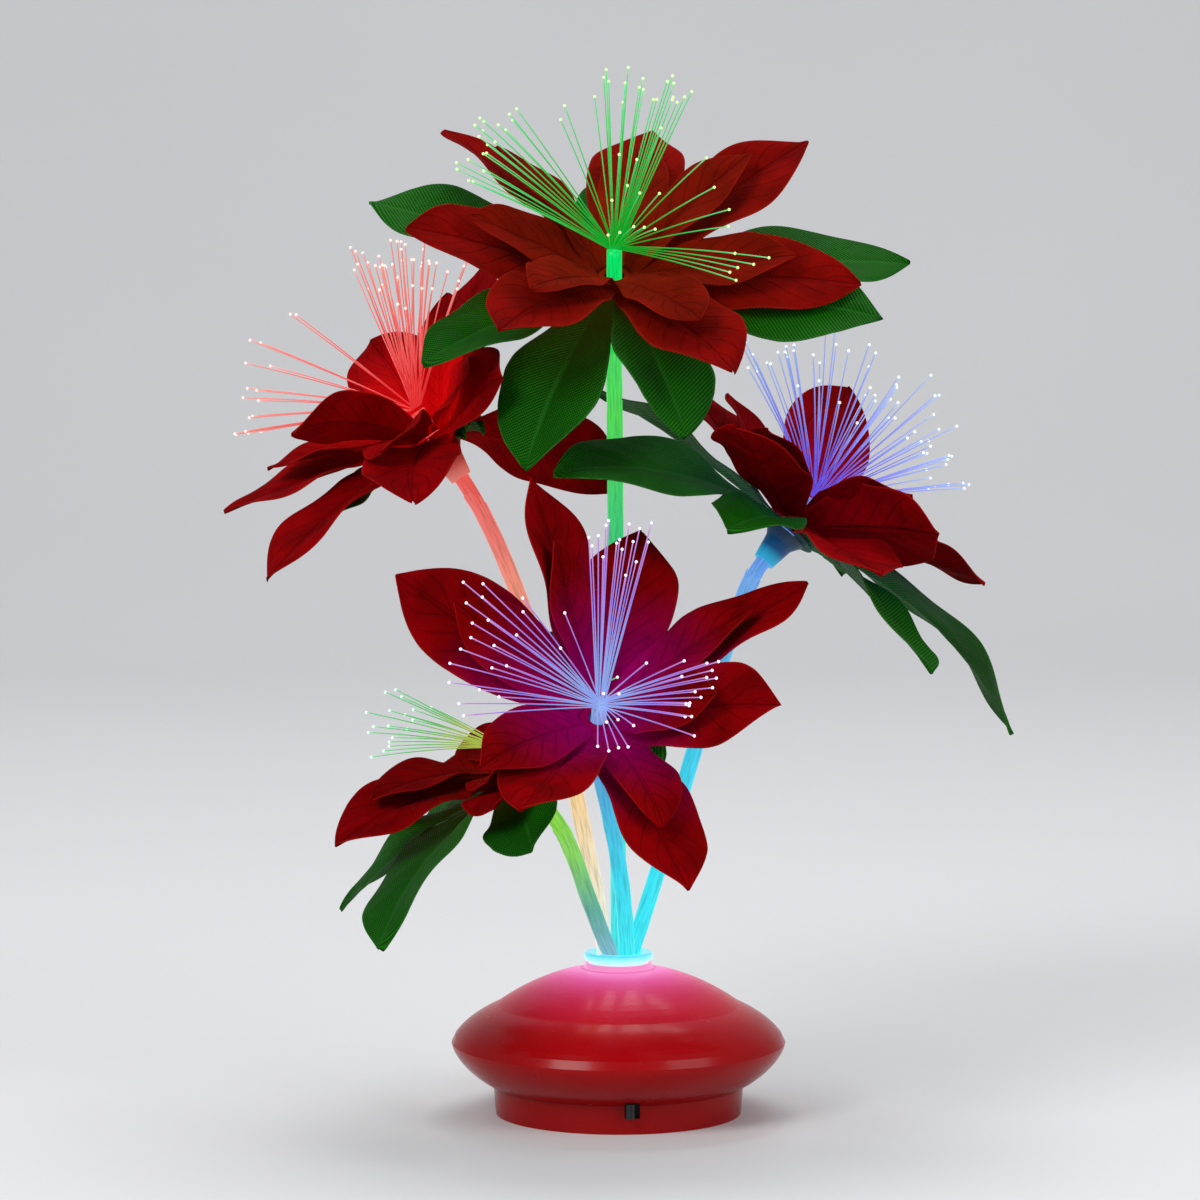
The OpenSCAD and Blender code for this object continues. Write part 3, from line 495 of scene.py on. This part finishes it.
def formed_layer(name, flower, blades, seed, depth, hub_r, length, width, root, fold, veins, wave, ragged):
    """A pressed fabric layer: its blades with their hub. The mesh carries how far each point is along its
    blade, how near its edge and how strongly the blade is lit, and a flat map of the cloth in metres."""
    place = flower_place(flower)
    steps, across, rim = 30, 14, 32
    belly, groove, unrest = 0.55, 0.35, 0.35
    bm = bmesh.new()
    along = bm.verts.layers.float.new("along")
    edge = bm.verts.layers.float.new("edge")
    lit = bm.verts.layers.float.new("lit")
    uv = bm.loops.layers.uv.new("UVMap")
    for number, (azimuth, pitch, bend, share, roll, glow) in enumerate(blades):
        chance = random.Random(seed * 100 + number)
        phase, twist, drift = chance.uniform(0, 6.28), chance.uniform(-5, 5), chance.uniform(-2.0, 2.0)
        size, turn, p0, dp = length * share, math.radians(azimuth), math.radians(pitch), math.radians(bend)
        wide = width * min(1, share + 0.25)
        grid = []
        flat = {}
        for i in range(steps + 1):
            s = i / steps
            a = p0 - dp * s
            out = hub_r + size * (math.sin(p0) - math.sin(a)) / dp
            up = size * (math.cos(a) - math.cos(p0)) / dp
            rolled = math.radians(roll * min(1, 3 * s) + twist * s)
            row = []
            for j in range(across + 1):
                x = 2 * j / across - 1
                fringe = ragged * noise.noise(Vector((s * 60, x * 9 + 7 * seed, number * 3.1))) * abs(x) ** 6
                half = x * half_width(s, root) * wide / 2 + math.copysign(fringe, x) * min(1, 5 * s)
                half += drift * math.sin(math.pi * s) * s
                swell = math.sin(math.pi * s)
                lift = fold * abs(x) ** 1.3 * swell
                lift += belly * math.sin(math.pi * abs(x)) * swell
                lift += veins[2] * vein_height(s, x, veins[0], veins[1])
                lift -= groove * max(0.0, 1 - abs(x) / 0.1) * swell
                lift += wave * abs(x) ** 2 * math.sin(13 * s + phase + (1.4 if x > 0 else 0)) * min(1, 3 * s)
                lift += unrest * noise.noise(Vector((s * 5, x * 2, seed + number * 1.7))) * min(1, 3 * s)
                side = half * math.cos(rolled) - lift * math.sin(rolled)
                rise = half * math.sin(rolled) + lift * math.cos(rolled)
                r, z = out - math.sin(a) * rise, up + math.cos(a) * rise
                v = bm.verts.new(place @ Vector((r * math.cos(turn) - side * math.sin(turn),
                                                 r * math.sin(turn) + side * math.cos(turn), z - depth)))
                v[along], v[edge], v[lit] = s, abs(x), glow
                flat[v] = ((x * half_width(s, root) * wide / 2) * MM, size * s * MM)
                row.append(v)
            grid.append(row)
        for i in range(steps):
            for j in range(across):
                face = bm.faces.new((grid[i][j], grid[i + 1][j], grid[i + 1][j + 1], grid[i][j + 1]))
                face.normal_flip()
                for loop in face.loops:
                    loop[uv].uv = flat[loop.vert]
    # Moulded hub that carries the blades
    rings = []
    for radius, z in ((2.75, -0.2), (hub_r * 0.7, -0.05), (hub_r + 2.6, -0.5)):
        row = []
        for k in range(rim):
            angle = 2 * math.pi * k / rim
            v = bm.verts.new(place @ Vector((radius * math.cos(angle), radius * math.sin(angle), z - depth)))
            v[along], v[edge], v[lit] = 0.0, 0.5, 0.6
            row.append(v)
        rings.append(row)
    for a, b in zip(rings, rings[1:]):
        for k in range(rim):
            face = bm.faces.new((a[k], b[k], b[(k + 1) % rim], a[(k + 1) % rim]))
            for loop in face.loops:
                loop[uv].uv = (0, 0)
    mesh = bpy.data.meshes.new(name)
    bm.to_mesh(mesh)
    bm.free()
    return mesh


def cloth_body(piece, thickness):
    """The thickness of the cloth, and a rounder surface."""
    thick = piece.modifiers.new("Cloth", "SOLIDIFY")
    thick.thickness = thickness * MM
    thick.offset = -1
    smooth = piece.modifiers.new("Press", "SUBSURF")
    smooth.levels = smooth.render_levels = 1


def ribbed_satin(name, glow, strength):
    """Green satin with fine slanting ribs, a paler sheen along them, and the pressed veins."""
    finish, tree, shader = new_finish(name, 0.55)
    spot = put(tree, "ShaderNodeTexCoord").outputs["Object"]
    along = put(tree, "ShaderNodeAttribute", attribute_name="along").outputs["Fac"]
    edge = put(tree, "ShaderNodeAttribute", attribute_name="edge").outputs["Fac"]
    lit = put(tree, "ShaderNodeAttribute", attribute_name="lit").outputs["Fac"]
    flat = put(tree, "ShaderNodeUVMap").outputs[0]
    cloth = put(tree, "ShaderNodeSeparateXYZ", {0: flat}).outputs
    slant = sums(tree, "ADD", sums(tree, "MULTIPLY", cloth[0], 4700), sums(tree, "MULTIPLY", cloth[1], 5500))
    cross = sums(tree, "SUBTRACT", sums(tree, "MULTIPLY", cloth[0], 8200),
                 sums(tree, "MULTIPLY", cloth[1], 6400))
    ribs = sums(tree, "ADD", sums(tree, "MULTIPLY", sums(tree, "SINE", slant), 0.5), 0.5)
    threads = sums(tree, "ADD", sums(tree, "MULTIPLY", sums(tree, "SINE", cross), 0.5), 0.5)
    weave = sums(tree, "ADD", sums(tree, "MULTIPLY", ribs, 0.6), sums(tree, "MULTIPLY", threads, 0.4))
    broad = grain(tree, spot, 45, 3)
    # The weave's crests are painted paler than its troughs: a painted sheen along the ribs
    tone = ramp(tree, weave, [(0.0, colour(4, 40, 1)), (0.45, colour(11, 75, 4)), (1.0, colour(33, 120, 12))])
    tone = blend_colours(tree, between(tree, broad, 0.3, 0.75), tone, (0.62, 0.7, 0.5, 1), "MULTIPLY")
    midrib = sums(tree, "SUBTRACT", 1.0, between(tree, edge, 0.02, 0.08))
    tone = blend_colours(tree, sums(tree, "MULTIPLY", midrib, 0.35), tone, colour(40, 110, 34))
    cut = between(tree, edge, 0.94, 1.0)
    tone = blend_colours(tree, sums(tree, "MULTIPLY", cut, 0.3), tone, colour(60, 120, 50))
    tree.links.new(tone, shader.inputs["Base Color"])
    shader.inputs["Sheen Weight"].default_value = 0.03
    shader.inputs["Sheen Roughness"].default_value = 0.4
    shader.inputs["Sheen Tint"].default_value = colour(90, 190, 70)
    shader.inputs["Specular IOR Level"].default_value = 0.05
    # Painted glow: the fibres' light on the leaf near its hub, given as emission
    near = sums(tree, "SUBTRACT", 1.0, between(tree, along, 0.0, 0.75))
    shader.inputs["Emission Color"].default_value = glow
    tree.links.new(sums(tree, "MULTIPLY", sums(tree, "MULTIPLY", near, lit), strength),
                   shader.inputs["Emission Strength"])
    crumple = grain(tree, spot, 190, 3)
    height = sums(tree, "ADD", sums(tree, "MULTIPLY", weave, 0.3), sums(tree, "MULTIPLY", crumple, 1.6))
    relief(tree, shader, height, 0.8, 0.0008)
    return finish


# Azimuth, pitch, bend and share of full length of each leaf, its roll, and how strongly it is lit
LEAVES = {
    "top": [(14, 5, 18, 1.05, 0, 0.3), (86, 4, 10, 0.7, 0, 0.3), (166, 22, 15, 0.87, 0, 0.3),
            (215, 5, 18, 0.76, 8, 0.8), (248, -10, 25, 0.83, 7, 0.3), (289, -4, 25, 0.73, -20, 0.2),
            (344, 3, 4, 0.92, 22, 0.2)],
    "left": [(70, 8, 14, 0.2, 0, 0.5), (125, 8, 12, 0.5, 0, 0.4), (183, 4, 14, 0.45, -20, 0.3),
             (236, -26, 12, 0.25, -10, 0.3), (300, -18, 10, 0.1, 10, 0.3), (345, -28, 8, 0.1, 0, 0.3)],
    "right": [(60, 18, 10, 0.45, 0, 0.3), (110, 20, 10, 0.5, 0, 0.4), (164, 9, 17, 0.85, -5, 0.3),
              (208, -11, 39, 0.94, -26, 0.2), (254, -14, 27, 0.58, 12, 0.3), (319, -6, 17, 0.9, 10, 0.2),
              (354, 16, 43, 1.05, 0, 0.2)],
    "front": [(50, -16, 12, 0.4, 0, 0.3), (92, -18, 12, 0.6, 0, 0.3), (132, -8, 12, 0.36, 0, 0.3),
              (186, 0, 20, 0.22, 0, 0.3), (245, 12, 14, 0.22, 0, 0.3), (318, 4, 14, 0.22, 0, 0.3)],
    "low": [(95, 2, 18, 0.4, 0, 0.3), (140, 4, 18, 0.7, 0, 0.3), (187, 14, 25, 0.74, 0, 0.3),
            (229, 14, 32, 0.96, 0, 0.3), (265, -2, 20, 0.56, 4, 0.3), (10, -10, 20, 0.14, 0, 0.3)],
}
# How far the hub lies below the fibres' root and its radius, length and width of the cut, share of the width
# at the root, rise of the sides, number, slant and height of the veins, waviness and fray, in mm
LEAF_CUT = {"depth": 12.5, "hub_r": 6.6, "length": 78, "width": 31, "root": 0.22, "fold": 2.6,
            "veins": (9, 2.0, 0.9), "wave": 1.4, "ragged": 0.8}
# Colour of the painted glow that the fibres' light gives each flower's leaves
LEAF_LIGHT = {"top": (120, 110, 20), "left": (190, 50, 20), "right": (40, 60, 120),
              "front": (80, 20, 120), "low": (110, 110, 30)}
for number, (flower, blades) in enumerate(LEAVES.items()):
    mesh = formed_layer(flower + "_leaf_layer", flower, blades, 11 + number, **LEAF_CUT)
    satin = ribbed_satin("Ribbed satin " + flower, colour(*LEAF_LIGHT[flower]), 0.25)
    leaf = link(flower + "_leaf_layer", mesh, satin)
    cloth_body(leaf, 0.5)
    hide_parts(flower + "_leaves")
    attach(leaf, "base")


# Outer petals: die-cut from red flocked cloth and hot pressed into a keel with side veins. They lie on
# the leaves' hub, and the light of the fibres colours them near the heart.
def flocked_velvet(name, shade, deep, heart, strength, reach):
    """Red flock: dull, a pale nap at grazing angles, painted shade in the pressed veins, and a lit heart."""
    finish, tree, shader = new_finish(name, 0.85)
    spot = put(tree, "ShaderNodeTexCoord").outputs["Object"]
    along = put(tree, "ShaderNodeAttribute", attribute_name="along").outputs["Fac"]
    edge = put(tree, "ShaderNodeAttribute", attribute_name="edge").outputs["Fac"]
    lit = put(tree, "ShaderNodeAttribute", attribute_name="lit").outputs["Fac"]
    flock = grain(tree, spot, 1700, 2)
    nap = grain(tree, spot, 85, 3)
    tone = blend_colours(tree, between(tree, nap, 0.3, 0.72), shade, deep)
    tone = blend_colours(tree, sums(tree, "MULTIPLY", flock, 0.7), tone, deep)
    slope = sums(tree, "SUBTRACT", sums(tree, "MULTIPLY", along, 8.0), sums(tree, "MULTIPLY", edge, 2.2))
    wave = sums(tree, "ABSOLUTE", sums(tree, "SUBTRACT", sums(tree, "FRACT", slope), 0.5))
    vein = sums(tree, "SUBTRACT", 1.0, between(tree, wave, 0.02, 0.09))
    vein = sums(tree, "MULTIPLY", vein, sums(tree, "SUBTRACT", 1.0, between(tree, edge, 0.6, 0.95)))
    midrib = sums(tree, "SUBTRACT", 1.0, between(tree, edge, 0.02, 0.09))
    lines = sums(tree, "MAXIMUM", midrib, sums(tree, "MULTIPLY", vein, 0.6))
    # Painted shade along the pressed veins and the midrib: the lines are tinted darker
    pressed = (deep[0] * 0.4, deep[1], deep[2], 1)
    tone = blend_colours(tree, sums(tree, "MULTIPLY", lines, 0.18), tone, pressed)
    cut = between(tree, edge, 0.95, 1.0)
    tone = blend_colours(tree, sums(tree, "MULTIPLY", cut, 0.15), tone, colour(196, 44, 30))
    near = sums(tree, "MULTIPLY", lit, sums(tree, "SUBTRACT", 1.0, between(tree, along, 0.0, reach)))
    tone = blend_colours(tree, sums(tree, "MULTIPLY", near, 0.75), tone, heart)
    tree.links.new(tone, shader.inputs["Base Color"])
    tree.links.new(tone, shader.inputs["Emission Color"])
    tree.links.new(sums(tree, "MULTIPLY", near, strength), shader.inputs["Emission Strength"])
    shader.inputs["Sheen Weight"].default_value = 0.04
    shader.inputs["Sheen Roughness"].default_value = 0.4
    shader.inputs["Sheen Tint"].default_value = colour(220, 30, 30)
    shader.inputs["Specular IOR Level"].default_value = 0.02
    crumple = grain(tree, spot, 230, 3)
    height = sums(tree, "ADD", sums(tree, "MULTIPLY", flock, 0.3), sums(tree, "MULTIPLY", crumple, 0.9))
    relief(tree, shader, sums(tree, "SUBTRACT", height, lines), 0.8, 0.0007)
    return finish


# The same values for each outer petal
PETALS = {
    "top": [(32, 31, 16, 1, 2, 0.5), (80, 20, 18, 0.96, 3, 0.8), (144, 35, 15, 0.95, 28, 0.5),
            (195, 29, 8, 0.92, -20, 0.4), (241, 24, 18, 0.96, -7, 0.6), (299, 9, 10, 0.94, 4, 0.5),
            (349, 7, 4, 1, 22, 0.5)],
    "left": [(24, -33, 35, 0.8, -39, 0.15), (50, 41, 12, 1, 18, 1), (92, 40, 8, 1, 0, 1),
             (140, 21, 10, 0.9, 0, 0.9), (183, 22, 14, 0.9, -20, 0.35), (215, -1, 14, 1.04, -20, 0.1),
             (258, -3, 23, 0.9, -26, 0.2), (300, 7, 12, 0.73, 40, 0.9)],
    "right": [(60, 32, 8, 0.95, 0, 0.6), (107, 54, 4, 1.02, -10, 1), (152, 22, 4, 0.92, -22, 0.2),
              (243, 1, 4, 0.88, 18, 0.1), (294, -6, 5, 1.0, 33, 0.1), (306, 24, 18, 0.82, -20, 0.3),
              (352, 30, 14, 0.8, 0, 0.3)],
    "front": [(33, 19, 13, 0.98, -38, 0.9), (80, -2, 12, 0.89, 4, 1), (112, 41, 12, 1, 44, 1),
              (150, 19, 9, 0.97, -16, 0.9), (245, 44, 9, 0.9, 24, 0.9), (292, 30, 19, 0.98, -30, 0.9),
              (344, 50, 13, 0.93, 2, 0.9)],
    "low": [(54, 16, 10, 0.22, 0, 0.4), (104, 22, 10, 0.5, 0, 0.5), (155, 20, 12, 0.6, 0, 0.4),
            (214, 38, 34, 0.89, -26, 0.3), (262, 14, 16, 0.6, 0, 0.3), (308, 2, 16, 0.36, 0, 0.3),
            (0, 4, 12, 0.25, 0, 0.3)],
}
# Colour, share and reach of the light in each flower's heart
HEART = {"top": ((116, 30, 2), 0.2, 0.9), "left": ((220, 6, 10), 0.3, 0.9), "right": ((170, 4, 40), 0.3, 0.9),
         "front": ((140, 0, 100), 0.35, 0.7), "low": ((130, 20, 6), 0.15, 0.8)}
PETAL_CUT = {"depth": 10.9, "hub_r": 5.2, "length": 66, "width": 28, "root": 0.4, "fold": 2.6,
             "veins": (8, 2.2, 0.7), "wave": 1.3, "ragged": 0.3}
for number, (flower, blades) in enumerate(PETALS.items()):
    heart, strength, reach = HEART[flower]
    mesh = formed_layer(flower + "_outer_layer", flower, blades, 31 + number, **PETAL_CUT)
    # The top flower's cloth is painted browner: painted light of its green fibres on the red flock
    shade, deep = ((134, 6, 3), (96, 4, 2)) if flower == "top" else ((140, 0, 4), (100, 0, 2))
    velvet = flocked_velvet("Flocked cloth " + flower, colour(*shade), colour(*deep), colour(*heart),
                            strength, reach)
    petal = link(flower + "_outer_layer", mesh, velvet)
    cloth_body(petal, 0.5)
    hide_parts(flower + "_outer_petals")
    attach(petal, "base")


# Inner petals: a smaller layer of the same cloth on its own hub, above the outer one. Where an outer petal
# droops there is none, and a few stand well off their outer petal.
# A petal that stands off, under the azimuth of its outer petal
STANDING = {"left": {215: (227, 45, 40, 0.97, 25, 0.3), 258: (254, 10, 20, 0.9, 0, 0.3)},
            "right": {306: (298, 32, 16, 0.9, 16, 0.3)}, "front": {245: (223, 47, 22, 1.02, 3, 0.9)}}
# Degrees that the others stand above their outer petal, their share of its roll, and of its light
LIFT, ROLL_SHARE, LIGHT_SHARE = 9, 0.8, 1.2
INNER_CUT = {"depth": 9.3, "hub_r": 4.8, "length": 49, "width": 20, "root": 0.4, "fold": 2.6,
             "veins": (7, 2.0, 0.6), "wave": 0.9, "ragged": 0.25}
for number, (flower, blades) in enumerate(PETALS.items()):
    heart, strength, reach = HEART[flower]
    apart = STANDING.get(flower, {})
    lifted = [(azimuth, pitch + LIFT, bend, share, ROLL_SHARE * roll, glow)
              for azimuth, pitch, bend, share, roll, glow in blades if pitch > 0 and azimuth not in apart]
    lifted += apart.values()
    mesh = formed_layer(flower + "_inner_layer", flower, lifted, 51 + number, **INNER_CUT)
    # The top flower's inner cloth is painted browner still: painted light of its green fibres on the red
    # flock
    shade, deep = ((124, 14, 3), (92, 9, 2)) if flower == "top" else ((136, 1, 4), (98, 0, 2))
    velvet = flocked_velvet("Inner flocked cloth " + flower, colour(*shade), colour(*deep), colour(*heart),
                            strength * LIGHT_SHARE, reach * LIGHT_SHARE)
    petal = link(flower + "_inner_layer", mesh, velvet)
    cloth_body(petal, 0.45)
    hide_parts(flower + "_inner_petals")
    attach(petal, "base")


# Fibre sprays: the clear fibres of each bundle fan out from the heart of the flower in loose clumps. Their
# sides glow faintly with the colour of the lamp, and their cut ends shine.
def spray_tree():
    """Sweeps each line of a mesh into a strand and sets a bright bead on its far end."""
    tree = bpy.data.node_groups.new("Fibre spray", "GeometryNodeTree")
    for socket, kind in (("Geometry", "Geometry"), ("Strand radius", "Float"), ("Bead radius", "Float"),
                         ("Finish", "Material")):
        tree.interface.new_socket(socket, in_out="INPUT", socket_type="NodeSocket" + kind)
    tree.interface.new_socket("Geometry", in_out="OUTPUT", socket_type="NodeSocketGeometry")
    start = tree.nodes.new("NodeGroupInput").outputs
    lines = put(tree, "GeometryNodeMeshToCurve", {"Mesh": start["Geometry"]}).outputs[0]
    along = put(tree, "GeometryNodeSplineParameter").outputs["Factor"]
    lines = put(tree, "GeometryNodeStoreNamedAttribute", {"Geometry": lines, "Name": "along", "Value": along},
                domain="POINT", data_type="FLOAT").outputs[0]
    ring = put(tree, "GeometryNodeCurvePrimitiveCircle",
               {"Resolution": 6, "Radius": start["Strand radius"]}).outputs[0]
    strands = put(tree, "GeometryNodeCurveToMesh",
                  {"Curve": lines, "Profile Curve": ring, "Fill Caps": True}).outputs[0]
    ends = put(tree, "GeometryNodeCurveEndpointSelection", {"Start Size": 0, "End Size": 1}).outputs[0]
    bead = put(tree, "GeometryNodeMeshIcoSphere",
               {"Radius": start["Bead radius"], "Subdivisions": 2}).outputs["Mesh"]
    beads = put(tree, "GeometryNodeInstanceOnPoints",
                {"Points": lines, "Selection": ends, "Instance": bead}).outputs[0]
    beads = put(tree, "GeometryNodeRealizeInstances", {"Geometry": beads}).outputs[0]
    beads = put(tree, "GeometryNodeStoreNamedAttribute", {"Geometry": beads, "Name": "along", "Value": 1.2},
                domain="POINT", data_type="FLOAT").outputs[0]
    both = tree.nodes.new("GeometryNodeJoinGeometry")
    tree.links.new(strands, both.inputs[0])
    tree.links.new(beads, both.inputs[0])
    whole = put(tree, "GeometryNodeRealizeInstances", {"Geometry": both.outputs[0]}).outputs[0]
    done = put(tree, "GeometryNodeSetMaterial", {"Geometry": whole, "Material": start["Finish"]}).outputs[0]
    tree.links.new(done, tree.nodes.new("NodeGroupOutput").inputs[0])
    return tree


def lit_fibre(name, root, middle, end, bead):
    """Clear acrylic with light inside it, which leaves at the end."""
    finish, tree, shader = new_finish(name, 0.25)
    along = put(tree, "ShaderNodeAttribute", attribute_name="along").outputs["Fac"]
    spot = put(tree, "ShaderNodeTexCoord").outputs["Object"]
    uneven = sums(tree, "MULTIPLY", sums(tree, "SUBTRACT", grain(tree, spot, 160), 0.5), 0.16)
    glow = ramp(tree, sums(tree, "MULTIPLY", sums(tree, "ADD", along, uneven), 0.8), [
        (0.0, colour(*root)), (0.2, colour(*root)), (0.5, colour(*middle)), (0.76, colour(*end)),
        (0.86, colour(*bead))])
    tree.links.new(glow, shader.inputs["Emission Color"])
    tree.links.new(sums(tree, "ADD", 0.62, sums(tree, "MULTIPLY", between(tree, along, 0.99, 1.1), 0.6)),
                   shader.inputs["Emission Strength"])
    faint = blend_colours(tree, 1.0, glow, (0.4, 0.4, 0.4, 1), "MULTIPLY")
    tree.links.new(faint, shader.inputs["Base Color"])
    return finish


def strand_lines(flower, sprays):
    """One line for each strand, from its cell in the bundle's end to the strand's tip. The strands of a spray
    share a range of azimuths and stay above the petals."""
    place = flower_place(flower)
    cells, parts = 8, 8
    bundle_r, reach, sag, long_petal = 2.3, 51, 0.06, 0.65

    def past(azimuth, start):
        return (azimuth - start) % 360

    def petal_rise(azimuth):
        rises = []
        for blade in (b for b in PETALS[flower] if b[3] > long_petal):
            off = abs((azimuth - blade[0] + 180) % 360 - 180)
            rises.append((blade[1] + LIFT) * math.cos(math.radians(min(90, 90 * max(0, off - 20) / 40))))
        return max(rises)

    points, edges = [], []
    for j in range(cells):
        for i in range(cells):
            u, v = 2 * (i + 0.5) / cells - 1, 2 * (j + 0.5) / cells - 1
            cell = bundle_r * Vector((u * math.sqrt(1 - v * v / 2), v * math.sqrt(1 - u * u / 2), 0))
            around = math.degrees(math.atan2(cell.y, cell.x))
            k = min(range(len(sprays)), key=lambda n: past(around, sprays[n][0]))
            start, first, last, least, tilt = sprays[k]
            width = past(sprays[(k + 1) % len(sprays)][0], start)
            azimuth = first + (last - first) * past(around, start) / width
            t = math.radians(min(least + (tilt - least) * cell.length / bundle_r, 95 - petal_rise(azimuth)))
            a = math.radians(azimuth)
            way = Vector((math.sin(t) * math.cos(a), math.sin(t) * math.sin(a), math.cos(t)))
            length = reach * (0.93 + 0.07 * math.sin(math.radians(137 * i + 61 * j)))
            begin = len(points)
            for n in range(parts + 1):
                s = n / parts
                droop = sag * s * (1 - s) * (Vector((0, 0, 1)) - way)
                points.append(place @ (cell + length * (s * way + droop)))
                if n:
                    edges.append((begin + n - 1, begin + n))
    mesh = bpy.data.meshes.new(flower + "_strand_lines")
    mesh.from_pydata(points, edges, [])
    return mesh


# Sprays of each flower: azimuth where their cells begin in the bundle, azimuths that the strands point to,
# tilt at the bundle's middle and at its edge; then colours at root, middle, end and bead
SPRAYS = {
    "top": ([(0, 12, 48, 8, 26), (60, 76, 100, 8, 60), (115, 150, 194, 8, 74), (235, 268, 290, 8, 60),
             (300, 310, 328, 8, 86)],
            (10, 170, 40), (40, 200, 80), (90, 216, 130), (190, 250, 150)),
    "left": ([(0, 20, 70, 8, 40), (120, 155, 187, 8, 73), (235, 288, 328, 8, 66)],
             (240, 60, 60), (248, 104, 100), (250, 140, 130), (255, 210, 200)),
    "right": ([(340, 388, 420, 8, 50), (80, 84, 112, 8, 34), (135, 146, 172, 8, 66), (225, 220, 300, 8, 80)],
              (110, 90, 236), (140, 150, 250), (160, 186, 254), (220, 236, 255)),
    "front": ([(35, 72, 100, 8, 63), (130, 150, 212, 8, 58), (250, 268, 286, 8, 42), (300, 312, 350, 8, 57)],
              (150, 176, 240), (160, 130, 236), (196, 136, 220), (240, 228, 255)),
    "low": ([(80, 108, 137, 50, 78), (190, -35, 25, 86, 98)],
            (170, 190, 70), (80, 190, 90), (110, 214, 140), (210, 246, 220)),
}
STRAND_R, BEAD_R = 0.18, 0.42
spray = spray_tree()
inputs = {item.name: item.identifier for item in spray.interface.items_tree if item.in_out == "INPUT"}
for flower, (sprays, root, middle, end, bead) in SPRAYS.items():
    lines = bpy.data.objects.new(flower + "_strand_lines", strand_lines(flower, sprays))
    bpy.context.scene.collection.objects.link(lines)
    sweep = lines.modifiers.new("Spray", "NODES")
    sweep.node_group = spray
    sweep[inputs["Strand radius"]] = STRAND_R * MM
    sweep[inputs["Bead radius"]] = BEAD_R * MM
    sweep[inputs["Finish"]] = lit_fibre("Lit fibre " + flower, root, middle, end, bead)
    whole = bpy.data.meshes.new_from_object(lines.evaluated_get(bpy.context.evaluated_depsgraph_get()))
    lines.modifiers.remove(sweep)
    bpy.data.objects.remove(lines)
    whole.name = flower + "_spray"
    fan = bpy.data.objects.new(flower + "_spray", whole)
    bpy.context.scene.collection.objects.link(fan)
    whole.polygons.foreach_set("use_smooth", [True] * len(whole.polygons))
    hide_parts(flower + "_fibres")
    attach(fan, "base")


# The table and the studio: a pale sweep of paper with soft light from both sides and from above, and a
# camera a little above the flowers, as in the photograph.
def pale_sweep():
    """Floor that curves up into a backdrop."""
    near, bend, curve_r, top, side = -3.0, 1.2, 0.9, 4.0, 4.0
    quarter = [math.radians(6 * i) for i in range(16)]
    profile = [(near, 0.0)]
    profile += [(bend + curve_r * math.sin(a), curve_r - curve_r * math.cos(a)) for a in quarter]
    profile.append((bend + curve_r, top))
    bm = bmesh.new()
    rows = [[bm.verts.new((x, y, z)) for x in (-side, side)] for y, z in profile]
    for a, b in zip(rows, rows[1:]):
        bm.faces.new((a[0], a[1], b[1], b[0]))
    mesh = bpy.data.meshes.new("pale_sweep")
    bm.to_mesh(mesh)
    bm.free()
    finish, tree, shader = new_finish("Pale paper", 0.6)
    spot = put(tree, "ShaderNodeTexCoord").outputs["Object"]
    tree.links.new(blend_colours(tree, grain(tree, spot, 3), (0.68, 0.68, 0.69, 1), (0.72, 0.72, 0.73, 1)),
                   shader.inputs["Base Color"])
    sweep = link("pale_sweep", mesh, finish)


def soft_light(name, spot, aim, size, power):
    """A large soft lamp, turned to a point."""
    lamp = bpy.data.lights.new(name, "AREA")
    lamp.shape, lamp.size, lamp.energy = "DISK", size, power
    body = bpy.data.objects.new(name, lamp)
    body.location = spot
    body.rotation_euler = (Vector(aim) - Vector(spot)).to_track_quat("-Z", "Y").to_euler()
    bpy.context.scene.collection.objects.link(body)


pale_sweep()
bouquet_middle = (0, 0, 0.15)
soft_light("Key", (-1.0, -1.3, 1.3), bouquet_middle, 0.9, 22)
soft_light("Fill", (1.3, -1.0, 0.8), bouquet_middle, 1.1, 11)
soft_light("Top", (0.1, 0.5, 1.7), bouquet_middle, 1.2, 14)
world = bpy.data.worlds.new("Studio")
world.use_nodes = True
sky = world.node_tree.nodes["Background"].inputs
sky["Color"].default_value = (0.85, 0.87, 0.9, 1)
sky["Strength"].default_value = 0.45
bpy.context.scene.world = world

eye = bpy.data.objects.new("Camera", bpy.data.cameras.new("Camera"))
eye.data.lens, eye.data.sensor_width, eye.data.clip_end = 158.2, 36, 20
eye.location = (-0.0053, -1.5, 0.285)
eye.rotation_euler = (Vector((-0.0053, 0, 0.148)) - eye.location).to_track_quat("-Z", "Y").to_euler()
bpy.context.scene.collection.objects.link(eye)
bpy.context.scene.camera = eye
bpy.context.scene.view_settings.view_transform = "Standard"
